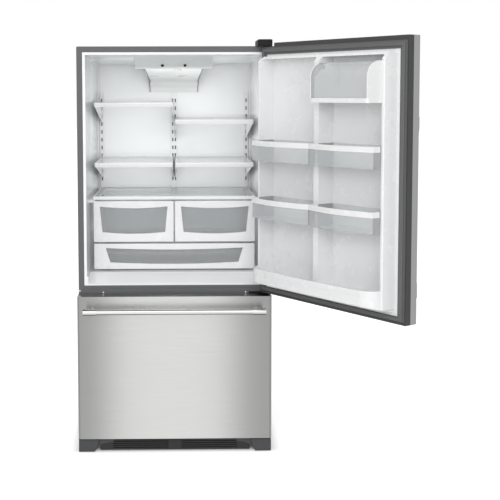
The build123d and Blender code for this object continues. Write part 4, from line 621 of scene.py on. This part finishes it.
# painted shade on the lens's sides: grey sheets over its side faces, thickened outwards, where the
# side walls lie in shade
SHADED_SIDE_THICKNESS = 0.0045
SIDEWAYS = 0.55             # least part of a side face's normal along X
bm = copy_of("lamp_lens")
bmesh.ops.recalc_face_normals(bm, faces=bm.faces)
others = [face for face in bm.faces if abs(face.normal.x) < SIDEWAYS]
bmesh.ops.delete(bm, geom=others, context="FACES")
shaded_sides = piece("lens_shaded_sides", finish_mesh(bm, "lens_shaded_sides"), "case", [lens_shade])
thick = shaded_sides.modifiers.new("thick", "SOLIDIFY")
thick.thickness, thick.offset = SHADED_SIDE_THICKNESS, 1.0

# domed caps for the two round buttons, square to the control housing's slope
SLOPE = Vector((0, -0.0536, -0.140)).normalized()
CAP_RADIUS, CAP_COUNT = 0.0064, 32
CAP = ((1.0, -0.0055), (1.0, 0.006), (0.985, 0.0075), (0.92, 0.0091), (0.78, 0.0104),
       (0.55, 0.0112), (0.2, 0.0116))       # share of the radius, height
for node in ("fridge_button", "freezer_button"):
    low, high = (Vector(v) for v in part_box(node))
    place = Matrix.Translation((low + high) / 2) @ frame_of(SLOPE)
    bm = bmesh.new()
    rings = [ring(bm, place, CAP_RADIUS * r, height, CAP_COUNT) for r, height in CAP]
    walls(bm, rings)
    bm.faces.new(rings[0][::-1])
    bm.faces.new(rings[-1])
    piece(node + "_cap", finish_mesh(bm, node + "_cap"), node, [black], [node])

# ---------------------------------------------------------------- floor
FLOOR_SIZE, FLOOR_CELLS = 40, 24
FLOOR_GLOW = 0.6
FOOTPRINT = (0.415, 0.38)   # half width and half depth of the case, with a margin
FADE = (0.93, 1.12)         # shares of the footprint over which the floor's glow comes in

stage_mat = material("stage", (0.92, 0.92, 0.92), 0.7, vary=0.004, vary_scale=0.6, bump=0.02,
                     bump_scale=30.0, spec=0.1, emit=FLOOR_GLOW)
# the floor glows for the camera alone, and not under the case
tree = stage_mat.node_tree
spot = add(tree, "ShaderNodeMapping", in_Scale=(1 / FOOTPRINT[0], 1 / FOOTPRINT[1], 0),
           in_Vector=add(tree, "ShaderNodeTexCoord").outputs["Object"])
fold = add(tree, "ShaderNodeVectorMath", operation="ABSOLUTE", in_Vector=spot.outputs[0])
beside, behind = axes(tree, fold.outputs[0])[:2]
outside = spread(tree, maths(tree, "MAXIMUM", beside, behind), 0, 1, *FADE)
camera_ray = add(tree, "ShaderNodeLightPath").outputs["Is Camera Ray"]
glow = maths(tree, "MULTIPLY", maths(tree, "MULTIPLY", camera_ray, outside), FLOOR_GLOW)
feed(tree, tree.nodes["Principled BSDF"].inputs["Emission Strength"], glow)

bm = bmesh.new()
bmesh.ops.create_grid(bm, x_segments=FLOOR_CELLS, y_segments=FLOOR_CELLS, size=FLOOR_SIZE)
floor_mesh = bpy.data.meshes.new("floor")
bm.to_mesh(floor_mesh)
bm.free()
floor_mesh.materials.append(stage_mat)
floor = bpy.data.objects.new("floor", floor_mesh)
scene.collection.objects.link(floor)
floor.visible_glossy = False

# ---------------------------------------------------------------- world
# level of the room by where a level ray points: 0.5 is straight out of the front, 1 is
# 63 degrees or more to the right
BAND = ((0.0, 0.5), (0.28, 0.34), (0.375, 0.71), (0.43, 0.53), (0.465, 1.21), (0.53, 1.21),
        (0.562, 0.57), (0.625, 0.57), (0.74, 0.32), (0.9, 0.52))
# share of that level by height: 0 is straight down, 0.5 level and 1 straight up; it is dark at
# both ends and brightest from 26 to 59 degrees up
TIER = ((0.0, 0.08), (0.012, 0.15), (0.05, 0.9), (0.3, 1.0), (0.64, 1.0), (0.72, 1.5),
        (0.93, 1.5), (0.975, 0.12))
BEHIND = (0.5, 0.5, 0.5, 1)
SEEN = (1, 1, 1, 1)         # what the camera itself sees

world = bpy.data.worlds.new("studio")
scene.world = world
world.use_nodes = True
tree = world.node_tree
tree.nodes.clear()
x, y, z = axes(tree, add(tree, "ShaderNodeTexCoord").outputs["Generated"])
heading = maths(tree, "MULTIPLY_ADD", maths(tree, "DIVIDE", x, y), -0.25, 0.5)
height = maths(tree, "MULTIPLY_ADD", z, 0.5, 0.5)
ahead = maths(tree, "LESS_THAN", y, 0.0)
room = blend(tree, ahead, BEHIND, ramp(tree, heading, BAND))
tiered = blend(tree, 1.0, room, ramp(tree, height, TIER), blend_type="MULTIPLY")
camera_ray = add(tree, "ShaderNodeLightPath").outputs["Is Camera Ray"]
sky = add(tree, "ShaderNodeBackground", in_Color=blend(tree, camera_ray, tiered, SEEN))
add(tree, "ShaderNodeOutputWorld", in_Surface=sky.outputs[0])

# ---------------------------------------------------------------- lights
# name, place, target, width, height, watts; the lamp is at the control housing, and the fill
# stands upright in the compartment and faces its back
LIGHTS = (
    ("front_light", (0.3, -5.2, 2.3), (0.1, 0, 1.1), 2.6, 2.0, 76),
    ("left_light", (-3.2, -3.6, 2.6), (0, 0, 1.0), 1.6, 2.0, 22),
    ("top_light", (0.2, -1.2, 4.2), (0.1, 0, 0.8), 2.4, 1.6, 15),
    ("lamp", (0.0, FRONT + 0.16, 1.66), (0.0, 0.1, 0.9), 0.4, 0.08, 0.5),
    ("fridge_fill", (0.0, FRONT + 0.19, 1.25), (0.0, 1.0, 1.25), 0.60, 0.90, 2.0),
)
for name, place, target, width, height, watts in LIGHTS:
    data = bpy.data.lights.new(name, "AREA")
    data.shape, data.size, data.size_y, data.energy = "RECTANGLE", width, height, watts
    box = bpy.data.objects.new(name, data)
    box.location = place
    box.rotation_euler = (Vector(target) - Vector(place)).to_track_quat("-Z", "Y").to_euler()
    scene.collection.objects.link(box)
    box.visible_glossy = False

# ---------------------------------------------------------------- camera, fitted to the photograph
SENSOR = 36.0
FOCAL, PIXELS = 1055.84, 500    # focal length in pixels of a picture this wide
SHIFT = (0.12, -0.15)
EYE = (0.0039, -4.8518, 1.5426)
YAW, PITCH, ROLL = radians(0.8154), radians(-4.4763), radians(-0.1473)

camera_data = bpy.data.cameras.new("camera")
camera = bpy.data.objects.new("camera", camera_data)
scene.collection.objects.link(camera)
camera_data.sensor_width = SENSOR
camera_data.lens = FOCAL * SENSOR / PIXELS
camera_data.shift_x, camera_data.shift_y = SHIFT
forward = Vector((sin(YAW) * cos(PITCH), cos(YAW) * cos(PITCH), sin(PITCH)))
right = Vector((cos(YAW), -sin(YAW), 0))
up = right.cross(forward)
right, up = right * cos(ROLL) + up * sin(ROLL), up * cos(ROLL) - right * sin(ROLL)
aim = Matrix((right, up, -forward)).transposed().to_4x4()
camera.matrix_world = Matrix.Translation(EYE) @ aim
scene.camera = camera
scene.view_settings.view_transform = "Standard"
